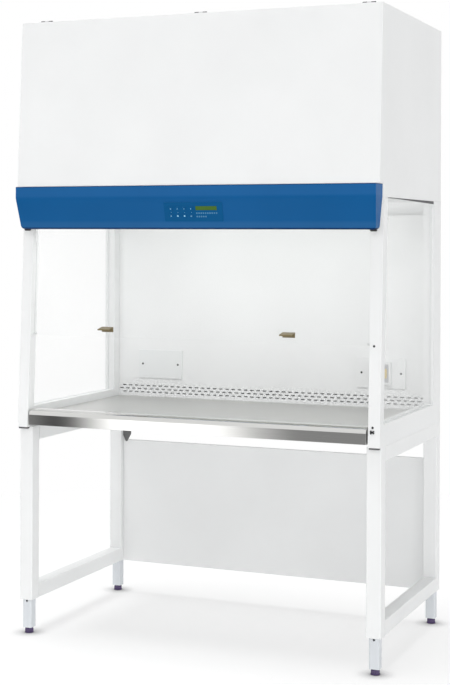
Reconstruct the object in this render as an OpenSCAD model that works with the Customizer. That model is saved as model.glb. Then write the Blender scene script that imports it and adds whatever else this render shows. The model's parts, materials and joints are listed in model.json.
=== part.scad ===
// Ductless fume hood on a height-adjustable tube stand.
// Millimetres. +X is to the right seen from the front, +Y to the back, +Z up.
// The origin is on the floor, under the middle of the whole.
// Inside, sizes are laid out from the front face of the stand's front legs, and placed() moves them.

/* [Stand] */
// Width over the legs
stand_w = 1340; // [1200:10:1600]
// Depth over the legs
stand_d = 750; // [700:10:820]
// Height of the stand's top
stand_h = 740; // [680:5:850]
// Outside width of the square tube
tube_w = 50; // [48:1:60]
// Wall of the square tube
tube_wall = 2; // [1.5:0.5:3]
// Outer corner radius of the square tube
tube_r = 3; // [2.5:0.5:5]
// Height of the outer legs' lower ends above the floor
leg_end_h = 122; // [100:1:150]
// Outside width of the inner legs
inner_w = 35; // [32:1:42]
// Wall of the inner legs
inner_wall = 2; // [1.5:0.5:3]
// Outer corner radius of the inner legs
inner_r = 5; // [3:0.5:7]
// Length of the inner legs
inner_len = 300; // [260:10:360]
// Thickness of the plate that closes the inner legs' lower ends
leg_plate_t = 6; // [4:1:10]
// Diameter of the locking holes in the inner legs
leg_hole_d = 8; // [6:0.5:10]
// Distance between locking holes
leg_hole_pitch = 25; // [20:1:40]
// Diameter of the levelling feet
foot_d = 32; // [28:1:34]
// Height of the levelling feet
foot_h = 20; // [15:1:30]
// Diameter of the feet's stems
stem_d = 12; // [8:1:16]
// Length of the feet's stems
stem_len = 60; // [50:1:90]
// Diameter of the screws that clamp the inner legs
clamp_d = 8; // [6:1:10]
// Height of the clamp screws above the lower side rails
clamp_h = 7; // [6:1:12]
// Free height between the rear panel and the rear top rail
panel_gap = 85; // [60:1:120]
// Depth of the folded edges of the rear panel
panel_fold = 18; // [10:1:25]

/* [Cabinet] */
// Thickness of the side frames, and width of their posts seen from the front
frame_t = 40; // [36:1:50]
// Depth of the leaning front posts
post_d = 40; // [36:1:50]
// Depth of the rear posts
rear_post_d = 95; // [85:1:120]
// Lean of the posts, the sash and the service door, in degrees
lean = 3; // [1:0.5:5]
// Distance that the posts' feet stand ahead of the legs
post_overhang = 18; // [10:1:25]
// Height of the window sill above the stand
sill_h = 72; // [66:1:90]
// Height of the side windows
window_h = 738; // [650:2:800]
// Height of the side frames' top rails, inside the head
top_rail_h = 40; // [30:1:42]
// Wall of the folded side frames
frame_wall = 2; // [1.5:0.5:3]
// Thickness of the side panes
glass_t = 5; // [4:0.5:6]
// Distance of the side panes behind the frames' outer faces
glass_inset = 10; // [8:0.5:16]
// Depth of the grooves that hold the panes
groove_d = 8; // [6:0.5:10]
// Sheet thickness of the pan, the baffle, the rear panels and the service door
sheet_t = 1.5; // [1:0.25:2]
// Sheet thickness of the worktop
worktop_t = 2; // [1.5:0.5:3]
// Height of the worktop above the stand
worktop_h = 46; // [40:1:56]
// Height of the front lip over the worktop
lip_rise = 19; // [12:1:24]
// Height of the front lip's face
lip_h = 56; // [50:1:60]
// Distance that the lip stands ahead of the legs
lip_proud = 20; // [14:1:26]
// Depth of the front lip
lip_d = 45; // [40:1:55]
// Radius of the front lip's nose
lip_r = 24; // [16:1:28]
// Gap between the worktop and each side frame
worktop_gap = 6; // [3:0.5:10]
// Depth of the air space behind the baffle
plenum_d = 50; // [40:1:70]
// Depth of the folded edges of the baffle and the outer rear panel
wall_fold = 15; // [10:1:20]
// Free height over the baffle
baffle_top_gap = 50; // [40:1:90]
// Length of the baffle's slots
slot_len = 15.5; // [12:0.5:18]
// Height of the baffle's slots
slot_h = 4.5; // [4:0.1:5.4]
// Distance between slots in a row
slot_pitch = 26; // [24:0.2:30]
// Distance between the rows of slots
slot_row_pitch = 12.7; // [10:0.1:15]
// Number of rows of slots
slot_rows = 3; // [1:1:4]
// Height of the lowest row of slots above the worktop
slot_row_h = 16; // [12:1:22]

/* [Service plates and outlet] */
// Width of the service plates
plate_w = 187; // [160:1:210]
// Height of the service plates
plate_h = 111; // [104:1:130]
// Distance that the service plates stand proud of the baffle
plate_t = 6; // [4:1:10]
// Distance of the service plates' middles from the side frames
plate_inset = 177; // [150:1:230]
// Distance of the pair of service plates to the right of the middle
plate_shift = 7; // [0:1:20]
// Height of the service plates' middle above the worktop
plate_mid_h = 129; // [125:1:160]
// Distance of the plate screws from the plate's middle
plate_screw_x = 76; // [65:1:78]
// Diameter of the plate screws' heads
screw_head_d = 8; // [6:0.5:10]
// Width of the outlet frame
outlet_w = 80; // [70:1:90]
// Height of the outlet frame
outlet_h = 84; // [75:1:95]
// Distance that the outlet frame stands proud of its plate
outlet_t = 12; // [8:1:16]
// Border of the outlet frame
outlet_border = 8; // [5:1:12]
// Width of the outlet's insert
insert_w = 52; // [36:1:56]
// Height of the outlet's insert
insert_h = 36; // [28:1:45]

/* [Sash] */
// Thickness of the sash
sash_t = 5; // [4:0.5:6]
// Height of the front opening, from the lip to the sash
opening_h = 262; // [200:2:300]
// Distance of the sash's middle plane behind the posts' front
sash_setback = 14; // [12:0.5:17]
// Gap between the sash and each post
sash_gap = 8; // [6:0.5:12]
// Diameter of the rail along the sash's upper edge
sash_rail_d = 18; // [14:0.5:19]
// Diameter of the pivots at the ends of the rail
sash_pivot_d = 8; // [6:0.5:10]
// Thickness of the pivot blocks
pivot_block_t = 7; // [5:0.5:7.5]
// Distance of the pull lips' middles from the sash's ends
handle_inset = 285; // [172:1:372]
// Distance of the pair of pull lips to the right of the middle
handle_shift = 10; // [0:1:30]
// Width of the pull lips
handle_w = 44; // [36:1:60]
// Height of the pull lips' fixed flange
handle_h = 18; // [14:1:26]
// Reach of the pull lips
handle_reach = 36; // [24:1:44]
// Thickness of the pull lips' front edge
handle_nose = 5; // [3:0.5:8]
// Sheet thickness of the pull lips
handle_t = 2; // [1.5:0.5:3]
// Height of the pull lips' lower edge above the sash's lower edge
handle_up = 18; // [12:1:40]
// Diameter of the rubber stops behind the sash
stop_d = 8; // [6:0.5:10]

/* [Head] */
// Height from the window's top to the service door
door_lift = 45; // [44:1:52]
// Height of the head above the foot of the service door
head_h = 585; // [560:5:650]
// Distance that the service door stands ahead of the posts' plane
head_proud = 52; // [45:1:60]
// Depth of the service door
door_d = 20; // [16:1:26]
// Gap round the service door
door_gap = 2; // [1:0.5:3]
// Sheet thickness of the head's shell
shell_t = 2; // [1.5:0.5:3]
// Distance of the outer hinges from the head's ends
hinge_inset = 71; // [50:1:120]
// Distance of the set of hinges to the right of the middle
hinge_shift = 18; // [0:1:30]
// Width of the hinge leaves from the pin to the edge
leaf_w = 14; // [10:1:20]
// Width of each hinge
hinge_w = 45; // [36:1:60]
// Outside diameter of the hinge knuckles
knuckle_d = 6; // [5:0.5:8]
// Diameter of the hinge pins
hinge_pin_d = 3; // [2:0.5:3.5]
// Thickness of the hinge leaves
leaf_t = 1.5; // [1:0.25:2]

/* [Fascia and controls] */
// Height of the fascia
fascia_h = 149; // [140:1:160]
// Distance that the fascia stands ahead of the service door's foot
fascia_proud = 23; // [15:1:30]
// Height of the fascia's upright upper band
band_h = 41; // [35:1:50]
// Distance that the fascia's lower edge runs back
fascia_back = 28; // [20:1:34]
// Distance of the fascia's ends from the head's ends
fascia_inset = 6; // [3:1:12]
// Taper of each end of the fascia
fascia_taper = 7; // [3:1:12]
// Radius of the fascia's lower corners
fascia_r = 14; // [8:1:20]
// Wall of the fascia
fascia_t = 3; // [2:0.5:4]
// Depth of the fascia's lower flange
flange_d = 12; // [8:1:14]
// Distance of the control panel to the right of the middle
control_x = 20; // [0:1:40]
// Width of the control panel
control_w = 216; // [212:1:240]
// Height of the control panel
control_h = 67; // [62:1:74]
// Thickness of the control panel
control_t = 1.2; // [0.8:0.1:2]
// Distance of the control panel's upper edge under the upper band
control_drop = 17; // [9:1:24]
// Side of the square keys
key_w = 13; // [10:0.5:14]
// Distance between keys
key_pitch = 25; // [22:0.5:26]
// Width of the keys' hidden rim
key_rim = 1.5; // [1:0.25:2]
// Travel of the keys
key_travel = 0.8; // [0.4:0.1:1.2]
// Width of the display
display_w = 78; // [60:1:84]
// Height of the display
display_h = 14; // [12:1:18]
// Diameter of the thumb screws under the fascia
thumb_d = 24; // [18:1:26]
// Height of the thumb screws' heads
thumb_h = 6; // [4:0.5:9]

/* [Filters and blower] */
// Gap between the filters and the head's sides
filter_side_gap = 58; // [48:1:120]
// Gap between the filters and the head's front and back
filter_end_gap = 51.7; // [42:0.1:70]
// Height of the pre-filter
prefilter_h = 25; // [20:1:45]
// Height of the carbon filter
carbon_h = 250; // [200:10:280]
// Width of the ledge that the filters rest on
ledge = 20; // [12:1:30]
// Width of the blower housing
blower_w = 460; // [400:10:560]
// Depth of the blower housing
blower_d = 320; // [310:10:400]
// Height of the blower housing
blower_h = 150; // [140:2:180]
// Diameter of the impeller
impeller_d = 250; // [220:5:280]
// Height of the impeller
impeller_h = 70; // [60:1:80]
// Number of impeller blades
blades = 12; // [8:1:16]
// Diameter of the motor
motor_d = 90; // [70:2:110]
// Diameter of the motor's shaft
shaft_d = 12; // [8:1:16]
// Width of the exhaust opening
exhaust_w = 400; // [320:10:440]
// Depth of the exhaust opening
exhaust_d = 260; // [220:10:290]
// Width of the exhaust grille's slots
grille_slot = 8; // [6:0.5:10]
// Distance of the lamp's ends from the side frames
lamp_gap = 130; // [80:5:230]
// Diameter of the lamp's tube
lamp_tube_d = 20; // [16:1:26]
// Width of the power inlet
inlet_w = 28; // [24:1:36]
// Height of the power inlet
inlet_h = 20; // [18:1:28]
// Distance of the power inlet from the head's right side
inlet_inset = 170; // [100:5:250]
// Distance of the power inlet under the head's top
inlet_drop = 100; // [60:5:140]

/* [Hidden] */
$fn = 48;

// Colours
white_paint = [0.93, 0.93, 0.94];
leg_metal = [0.80, 0.83, 0.84];
steel = [0.70, 0.70, 0.70];
zinc = [0.62, 0.62, 0.64];
foot_black = [0.14, 0.10, 0.16];
soft_black = [0.08, 0.08, 0.09];
clear_pane = [0.85, 0.93, 0.93, 0.3];
bronze = [0.45, 0.39, 0.26];
blue = [0.04, 0.34, 0.58];
panel_blue = [0.05, 0.22, 0.44];

// How far a cutting body passes the face that it cuts
cut = 1;
// Gap at a seat between two pieces that can be taken apart
seat = 0.3;
// Radial gap of a pin or stem that turns or slides
run_fit = 0.05;

// Stand
half_w = stand_w / 2;
leg_x = half_w - tube_w / 2;
leg_ys = [tube_w / 2, stand_d - tube_w / 2];
leg_in_x = half_w - tube_w;
rail_z = stand_h - tube_w;
clamp_z = leg_end_h + tube_w + clamp_h;
// The rear panel stands this far behind the rear legs' front faces
panel_setback = 20;
stand_panel_y = stand_d - tube_w + panel_setback;
leg_hole_z = leg_end_h - 0.75 * leg_hole_d;
leg_holes = floor((foot_h + inner_len - leg_hole_z - leg_hole_d) / leg_hole_pitch);

// Cabinet heights, from the floor
sill_z = stand_h + sill_h;
window_top = sill_z + window_h;
rail_top = window_top + top_rail_h;
worktop_z = stand_h + worktop_h;
lip_z = worktop_z + lip_rise;
door_z = window_top + door_lift;
top_z = door_z + head_h;
frame_in = half_w - frame_t;
window_rear = stand_d - rear_post_d;
baffle_y = stand_d - plenum_d;
pane_x = half_w - glass_inset - glass_t;
lap = shell_t + seat;
front_wall = frame_wall + lap;
plug_shift = 5;
plug_x = half_w - frame_t / 2 - plug_shift;
plug_d = 5;
clip_drop = 15;
plug_zs = [lip_z, lip_z + opening_h];
pan_y = lip_d - lip_proud + lip_rise + worktop_t;
pan_top = worktop_z - worktop_t;
plate_z = worktop_z + plate_mid_h;
outlet_recess = 4;
plate_x = frame_in - plate_inset;
outlet_x = plate_x + plate_shift;

// Front faces lean back as they rise: the posts' plane, and the service door's ahead of it
function post_y(z) = tan(lean) * (z - stand_h) - post_overhang;
function door_y(z) = post_y(z) - head_proud;
fascia_y = door_y(door_z) - fascia_proud;
y_mid = (fascia_y + stand_d) / 2;

// Sash
fascia_z = door_z - door_gap - fascia_h;
sash_z = lip_z + opening_h;
sash_axis_z = fascia_z + sash_rail_d / 2;
sash_half = frame_in - sash_gap;
handle_x = sash_half - handle_inset;
// Skin left between the rail's slot and its pins
slot_skin = 1;
sash_slot = sash_pivot_d / 2 + slot_skin;
function sash_y(z) = post_y(z) + sash_setback;

// Head
shell_in = half_w - shell_t;
hinge_y = door_y(top_z) + door_d;
hinge_z = top_z + knuckle_d / 2 + seat;
hinge_xs = [for (k = [-1:1]) k * (half_w - hinge_inset) + hinge_shift];
shelf_z = rail_top;
filter_w = 2 * (shell_in - filter_side_gap);
filter_y = post_y(rail_top) + filter_end_gap;
filter_d = stand_d - filter_end_gap - filter_y;
prefilter_z = shelf_z + shell_t;
carbon_z = prefilter_z + prefilter_h;
blower_y = stand_d / 2;
blower_z = top_z - shell_t - blower_h;
impeller_gap = 12;
impeller_z = blower_z + shell_t + impeller_gap;
motor_gap = 4;
motor_z = impeller_z + impeller_h + motor_gap;
eye_rim = 30;
inlet_ring = 20;
inlet_x = half_w - inlet_inset;
inlet_z = top_z - inlet_drop;

// Fascia: its lower face slopes by this angle under the upper band
fascia_front_z = fascia_z + fascia_h;
band_z = fascia_front_z - band_h;
slope_a = atan(fascia_back / (band_z - fascia_z));
function slope_y(z) = fascia_y + (band_z - z) * tan(slope_a);
flange_y = slope_y(fascia_z) + flange_d;
thumb_x = half_w - fascia_inset - fascia_taper - fascia_t - thumb_d / 2;
thumb_y = (slope_y(fascia_z) + post_y(fascia_z)) / 2;
thumb_shank_d = thumb_d / 3;

// Control panel: heights are measured from its middle up the slope, depths from the slope outward
control_mid = -control_drop - control_h / 2;
key_drop = 2;
key_proud = 1.2;
keys_margin = 25;
keys_x = -control_w / 2 + keys_margin;
display_margin = 60;
display_x = control_w / 2 - display_margin;
display_y = key_pitch / 2;
display_rim = 2;
bay_border = 12;
bay_w = control_w - 2 * bay_border;
bay_gap = 1;
bay_h = key_pitch + key_w + 2 * (key_rim + key_drop + bay_gap);
board_border = 4;
board_h = control_h - 2 * board_border;
board_t = 1.6;
board_gap = 6.4;

// Moves a piece from the layout's frame to the part's own
module placed() {
    translate([0, -y_mid, 0]) children();
}

// A box from its lowest to its highest corner
module block(low, high) {
    translate(low) cube(high - low);
}

// Draws right-hand work on the side that s names
module on_side(s) {
    if (s > 0) children();
    else mirror([1, 0, 0]) children();
}

// Extrudes a drawing in Y and Z along X
module along_x(x0, x1) {
    translate([x0, 0, 0]) rotate([90, 0, 90]) linear_extrude(x1 - x0) children();
}

// Extrudes a drawing in X and Z along Y
module along_y(y0, y1) {
    translate([0, y1, 0]) rotate([90, 0, 0]) linear_extrude(y1 - y0) children();
}

// A rectangle with round corners, about its middle
module round_rect(w, h, r) {
    square([w - 2 * r, h], center = true);
    square([w, h - 2 * r], center = true);
    for (x = [-1, 1], y = [-1, 1])
        translate([x * (w / 2 - r), y * (h / 2 - r)]) circle(r);
}

// Section of a square tube
module tube_section(w, wall, r) {
    difference() {
        round_rect(w, w, r);
        round_rect(w - 2 * wall, w - 2 * wall, r - wall / 2);
    }
}

// A tray of folded sheet that opens along +Y
module tray_back(low, high, t) {
    difference() {
        block(low, high);
        block(low + [t, t, t], high + [-t, cut, -t]);
    }
}

// Stand
module stand_side(s) {
    placed() color(white_paint) on_side(s) difference() {
        union() {
            for (y = leg_ys) {
                translate([leg_x, y, leg_end_h])
                    linear_extrude(stand_h - leg_end_h) tube_section(tube_w, tube_wall, tube_r);
                translate([leg_x, y, stand_h - tube_wall])
                    linear_extrude(tube_wall) round_rect(tube_w, tube_w, tube_r);
            }
            for (z = [leg_end_h, rail_z])
                along_y(tube_w, stand_d - tube_w)
                    translate([leg_x, z + tube_w / 2]) tube_section(tube_w, tube_wall, tube_r);
        }
        for (y = leg_ys)
            translate([leg_x, y + tube_w / 2 + cut, clamp_z])
                rotate([90, 0, 0]) cylinder(d = clamp_d + 2 * run_fit, h = tube_wall + 2 * cut);
    }
}

module stand_rear_rail() {
    placed() color(white_paint) along_x(-leg_in_x, leg_in_x)
        translate([leg_ys[1], rail_z + tube_w / 2]) tube_section(tube_w, tube_wall, tube_r);
}

module stand_rear_panel() {
    placed() color(white_paint) tray_back(
        [-leg_in_x + seat, stand_panel_y, leg_end_h],
        [leg_in_x - seat, stand_panel_y + panel_fold, rail_z - panel_gap], sheet_t);
}

// Set screws, flush with the rear faces of the outer legs
module leg_clamp_screws() {
    len = (tube_w - inner_w) / 2 - seat;
    placed() color(zinc) for (s = [-1, 1], y = leg_ys)
        translate([s * leg_x, y + tube_w / 2, clamp_z]) rotate([90, 0, 0]) difference() {
            cylinder(d = clamp_d, h = len);
            translate([0, 0, -cut]) cylinder(d = clamp_d / 2, h = len / 2 + cut, $fn = 6);
        }
}

module inner_leg(s, k) {
    placed() color(leg_metal) translate([s * leg_x, leg_ys[k], 0]) difference() {
        union() {
            translate([0, 0, foot_h + seat]) {
                linear_extrude(inner_len) tube_section(inner_w, inner_wall, inner_r);
                linear_extrude(leg_plate_t) round_rect(inner_w, inner_w, inner_r);
            }
        }
        translate([0, 0, foot_h]) cylinder(d = stem_d + 2 * run_fit, h = leg_plate_t + cut);
        for (i = [0:leg_holes])
            translate([0, inner_w, leg_hole_z + i * leg_hole_pitch])
                rotate([90, 0, 0]) cylinder(d = leg_hole_d, h = 2 * inner_w);
    }
}

module foot(s, k) {
    r = foot_d / 2;
    edge = foot_h / 6;
    placed() color(foot_black) translate([s * leg_x, leg_ys[k], 0]) rotate_extrude() polygon([
        [0, 0], [r - edge, 0], [r, edge], [r, foot_h - edge], [r - edge, foot_h],
        [stem_d / 2, foot_h], [stem_d / 2, foot_h + stem_len], [0, foot_h + stem_len]]);
}

// Cabinet
module base_pan() {
    rear = stand_d - sheet_t - seat;
    placed() color(white_paint) difference() {
        block([-frame_in, pan_y, stand_h], [frame_in, rear, pan_top]);
        block([-frame_in + sheet_t, pan_y + sheet_t, stand_h + sheet_t],
              [frame_in - sheet_t, rear - sheet_t, pan_top + cut]);
    }
}

// Side view of the worktop's front lip, smaller by t at its front and top
module lip_shape(t) {
    front = -lip_proud;
    low = lip_z - lip_h - (t > 0 ? cut : 0);
    translate([front + lip_r, lip_z - lip_r]) circle(lip_r - t);
    translate([front + t, low]) square([lip_d - t, lip_z - lip_r - low]);
    translate([front + lip_r, lip_z - lip_r]) square([lip_d - lip_r, lip_r - t]);
}

// Side view of the slope behind the lip, as thick sheet
module slope_shape() {
    y = lip_d - lip_proud;
    miter = worktop_t * tan(45 / 2);
    polygon([[y - worktop_t, lip_z], [y, lip_z], [y + lip_rise, worktop_z],
             [y + lip_rise, pan_top], [y + lip_rise - miter, pan_top],
             [y - miter, lip_z - worktop_t], [y - worktop_t, lip_z - worktop_t]]);
}

module worktop() {
    rear = baffle_y - seat;
    slope_end = lip_d - lip_proud + lip_rise;
    hem = 12;
    half = frame_in - worktop_gap;
    placed() color(steel) {
        along_x(-half, half) {
            difference() {
                lip_shape(0);
                lip_shape(worktop_t);
            }
            translate([-lip_proud, lip_z - lip_h]) square([hem, worktop_t]);
            slope_shape();
            translate([slope_end, pan_top]) square([rear - slope_end, worktop_t]);
            // The rear edge turns down and stands in the pan
            translate([rear - worktop_t, stand_h + sheet_t])
                square([worktop_t, worktop_z - stand_h - sheet_t]);
        }
        // The lip's ends are closed
        for (x = [-half, half - worktop_t])
            along_x(x, x + worktop_t) {
                lip_shape(0);
                slope_shape();
            }
    }
}

// Side view of the window's opening, larger by g all round
module window_shape(g) {
    z0 = sill_z - g;
    z1 = window_top + g;
    polygon([[post_y(z0) + post_d - g, z0], [post_y(z1) + post_d - g, z1],
             [window_rear + g, z1], [window_rear + g, z0]]);
}

// Side view of the side frame's outline, smaller by t at the front, the back and the top
module frame_shape(t, z0, z1) {
    polygon([[post_y(z0) + t, z0], [post_y(z1 - t) + t, z1 - t], [stand_d - t, z1 - t], [stand_d - t, z0]]);
}

// Puts work on the right post's leaning front face, at height z, its own Z pointing forward
module on_post(z) {
    translate([plug_x, post_y(z), z]) rotate([90 - lean, 0, 0]) children();
}

module side_frame(s) {
    groove_wall = 4;
    rim = groove_d + groove_wall;
    placed() color(white_paint) on_side(s) difference() {
        along_x(frame_in, half_w) difference() {
            frame_shape(0, stand_h, rail_top);
            window_shape(0);
        }
        // The hollow of the folded section, open at the foot
        along_x(frame_in + frame_wall, half_w - front_wall) difference() {
            frame_shape(front_wall, stand_h - cut, rail_top);
            window_shape(rim);
        }
        // Groove for the pane
        along_x(pane_x - seat, pane_x + glass_t + seat) window_shape(groove_d);
        // The head's shell laps over the top rail
        along_x(half_w - lap, half_w + cut) frame_shape(-cut, window_top, rail_top);
        along_x(frame_in - cut, half_w + cut) difference() {
            frame_shape(-cut, window_top, rail_top);
            frame_shape(lap, window_top - 2 * cut, rail_top + lap);
        }
        if (s > 0) for (z = plug_zs)
            on_post(z) translate([0, 0, -front_wall - cut]) cylinder(d = plug_d, h = front_wall + 2 * cut);
    }
}

module side_window(s) {
    placed() color(clear_pane) on_side(s) along_x(pane_x, pane_x + glass_t) window_shape(groove_d - seat);
}

module rear_panel() {
    placed() color(white_paint)
        block([-frame_in, stand_d - sheet_t, stand_h], [frame_in, stand_d, window_top - seat]);
}

module slot_shape() {
    square([slot_len - slot_h, slot_h], center = true);
    for (x = [-1, 1]) translate([x * (slot_len - slot_h) / 2, 0]) circle(d = slot_h, $fn = 16);
}

module baffle() {
    half = frame_in - seat;
    margin = 2;
    fit = floor((2 * (half - margin) - slot_len - slot_pitch / 2) / slot_pitch) + 1;
    placed() color(white_paint) difference() {
        block([-half, baffle_y, pan_top], [half, baffle_y + wall_fold, window_top - baffle_top_gap]);
        block([-half + sheet_t, baffle_y + sheet_t, pan_top - cut],
              [half - sheet_t, baffle_y + wall_fold + cut, window_top]);
        along_y(baffle_y - cut, baffle_y + sheet_t + cut)
            for (row = [0:slot_rows - 1], i = [0:fit - 1])
                translate([(i - (fit - 1) / 2 + (row % 2 == 0 ? 0.25 : -0.25)) * slot_pitch,
                           worktop_z + slot_row_h + row * slot_row_pitch]) slot_shape();
    }
}

module service_plate(s) {
    placed() color(white_paint) translate([s * plate_x + plate_shift, baffle_y, plate_z]) difference() {
        block([-plate_w / 2, -plate_t, -plate_h / 2], [plate_w / 2, 0, plate_h / 2]);
        block([-plate_w / 2 + sheet_t, -plate_t + sheet_t, -plate_h / 2 + sheet_t],
              [plate_w / 2 - sheet_t, cut, plate_h / 2 - sheet_t]);
        for (x = [-1, 1]) translate([x * plate_screw_x, -plate_t + sheet_t + cut, 0])
            rotate([90, 0, 0]) cylinder(d = screw_head_d / 2 + 2 * run_fit, h = sheet_t + 2 * cut);
    }
}

module plate_screws() {
    head_h = 0.3 * screw_head_d;
    placed() color(soft_black) for (s = [-1, 1], x = [-1, 1])
        translate([s * plate_x + plate_shift + x * plate_screw_x, baffle_y, plate_z]) rotate([90, 0, 0]) {
            cylinder(d = screw_head_d / 2, h = plate_t + head_h / 2);
            translate([0, 0, plate_t]) cylinder(d1 = screw_head_d, d2 = 0.7 * screw_head_d, h = head_h);
        }
}

module outlet_frame() {
    r = 3;
    placed() color(white_paint) translate([outlet_x, baffle_y - plate_t - outlet_t, plate_z]) difference() {
        along_y(0, outlet_t) round_rect(outlet_w, outlet_h, r);
        along_y(-cut, outlet_recess)
            round_rect(outlet_w - 2 * outlet_border, outlet_h - 2 * outlet_border, r - 1);
    }
}

module outlet_insert() {
    t = outlet_recess - 1;
    hole_ring = 9;
    hole_d = 4.5;
    y = baffle_y - plate_t - outlet_t + outlet_recess;
    placed() color([0.86, 0.78, 0.52]) translate([outlet_x, y, plate_z]) difference() {
        along_y(-t, 0) round_rect(insert_w, insert_h, 2);
        for (a = [90, 210, 330]) translate([hole_ring * cos(a), -t / 3, hole_ring * sin(a)])
            rotate([90, 0, 0]) cylinder(d = hole_d, h = t);
    }
}

// Sash
module sash() {
    z1 = sash_axis_z - sash_slot - seat;
    h = sash_t / 2 / cos(lean);
    placed() color(clear_pane) along_x(-sash_half, sash_half) polygon([
        [sash_y(sash_z) - h, sash_z], [sash_y(sash_z) + h, sash_z],
        [sash_y(z1) + h, z1], [sash_y(z1) - h, z1]]);
}

module sash_rail() {
    pin_end = frame_in - seat;
    rail_end = frame_in - pivot_block_t - seat;
    placed() color(steel) difference() {
        translate([0, sash_y(sash_axis_z), sash_axis_z]) rotate([0, 90, 0]) {
            cylinder(d = sash_rail_d, h = 2 * rail_end, center = true);
            cylinder(d = sash_pivot_d, h = 2 * pin_end, center = true);
        }
        translate([0, sash_y(sash_axis_z), sash_axis_z]) rotate([-lean, 0, 0])
            block([-frame_in, -sash_t / 2 - run_fit, -sash_rail_d],
                  [frame_in, sash_t / 2 + run_fit, -sash_slot]);
    }
}

module sash_pivots() {
    margin = 7;
    tail = 5;
    side = sash_pivot_d + margin + tail;
    placed() color(zinc) for (s = [-1, 1]) on_side(s) difference() {
        translate([frame_in - pivot_block_t, sash_y(sash_axis_z) - margin, sash_axis_z - margin])
            cube([pivot_block_t, side, side]);
        translate([frame_in - pivot_block_t - cut, sash_y(sash_axis_z), sash_axis_z]) rotate([0, 90, 0])
            cylinder(d = sash_pivot_d + 2 * run_fit, h = pivot_block_t + 2 * cut);
    }
}

// Side view of a pull lip: a flange on the pane, and a blade that slopes down to a rounded edge
module handle_shape() {
    z0 = sash_z + handle_up;
    z1 = z0 + handle_h;
    top_y = sash_y(z1) - sash_t / 2 / cos(lean);
    foot_y = sash_y(z0) - sash_t / 2 / cos(lean);
    drop = handle_h / 3;
    nose_y = top_y - handle_reach + handle_nose / 2;
    nose_z = z1 - drop - handle_nose / 2;
    polygon([[foot_y, z0], [top_y, z1], [top_y - handle_t, z1],
             [nose_y, nose_z + handle_nose / 2], [nose_y, nose_z + handle_nose / 2 - handle_t],
             [top_y - 2 * handle_t, z1 - 2 * handle_t], [foot_y - handle_t, z0]]);
    translate([nose_y, nose_z]) circle(d = handle_nose);
}

module sash_handles() {
    placed() color(bronze) for (s = [-1, 1]) {
        x = s * handle_x + handle_shift;
        along_x(x - handle_w / 2, x + handle_w / 2) handle_shape();
    }
}

module sash_stops() {
    z = sash_z + stop_d / 2;
    overlap = 6;
    placed() color(soft_black) for (s = [-1, 1]) on_side(s)
        translate([sash_half - overlap, sash_y(z) + sash_t / 2 / cos(lean) + stop_d / 2 + seat, z])
            rotate([0, 90, 0]) cylinder(d = stop_d, h = frame_in - sash_half + overlap);
}

module post_plugs() {
    head_d = 8;
    head_h = 2;
    placed() color(soft_black) for (z = plug_zs) on_post(z) {
        translate([0, 0, -front_wall]) cylinder(d = plug_d - 2 * run_fit, h = front_wall + head_h / 2);
        cylinder(d1 = head_d, d2 = 0.75 * head_d, h = head_h);
    }
}

// A small clip whose two arms spread from an upright bar
module hose_clip() {
    bar = 4;
    bar_h = 12;
    arm = 15;
    boss_d = 7;
    boss_h = 2;
    t = 3;
    placed() color(soft_black) on_post(lip_z - clip_drop) {
        linear_extrude(t) {
            translate([-arm / 2, -bar_h / 2]) square([bar, bar_h]);
            for (m = [0, 1]) mirror([0, m]) rotate(35) translate([-bar, -bar / 2]) square([arm - bar, bar]);
        }
        translate([-arm / 2 + bar, 0, 0]) cylinder(d = boss_d, h = t + boss_h);
    }
}

// Head
// Side view of the shell, its front stepping forward over the fascia
module shell_shape(t, open) {
    z0 = window_top + (open > 0 ? -cut : seat);
    front = door_d - open;
    polygon([[post_y(z0) + t, z0], [post_y(door_z + t) + t, door_z + t],
             [door_y(door_z + t) + front, door_z + t], [door_y(top_z - t) + front, top_z - t],
             [stand_d - t, top_z - t], [stand_d - t, z0]]);
}

module hood_shell() {
    placed() color(white_paint) difference() {
        along_x(-half_w, half_w) shell_shape(0, 0);
        along_x(-shell_in, shell_in) shell_shape(shell_t, cut);
        block([-exhaust_w / 2, blower_y - exhaust_d / 2, top_z - shell_t - cut],
              [exhaust_w / 2, blower_y + exhaust_d / 2, top_z + cut]);
        block([inlet_x - inlet_w / 2, stand_d - shell_t - cut, inlet_z - inlet_h / 2],
              [inlet_x + inlet_w / 2, stand_d + cut, inlet_z + inlet_h / 2]);
    }
}

module service_door() {
    z0 = door_z;
    z1 = top_z;
    back = door_d - seat;
    placed() color(white_paint) difference() {
        along_x(-half_w, half_w) polygon([
            [door_y(z0), z0], [door_y(z1), z1], [door_y(z1) + back, z1], [door_y(z0) + back, z0]]);
        along_x(-half_w + sheet_t, half_w - sheet_t) polygon([
            [door_y(z0 + sheet_t) + sheet_t, z0 + sheet_t], [door_y(z1 - sheet_t) + sheet_t, z1 - sheet_t],
            [door_y(z1 - sheet_t) + door_d + cut, z1 - sheet_t],
            [door_y(z0 + sheet_t) + door_d + cut, z0 + sheet_t]]);
    }
}

// One knuckle of a hinge, from x0 to x1, bored for its pin
module knuckle(x0, x1) {
    translate([x0, hinge_y, hinge_z]) rotate([0, 90, 0]) difference() {
        cylinder(d = knuckle_d, h = x1 - x0);
        translate([0, 0, -cut]) cylinder(d = hinge_pin_d + 2 * run_fit, h = x1 - x0 + 2 * cut);
    }
}

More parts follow.
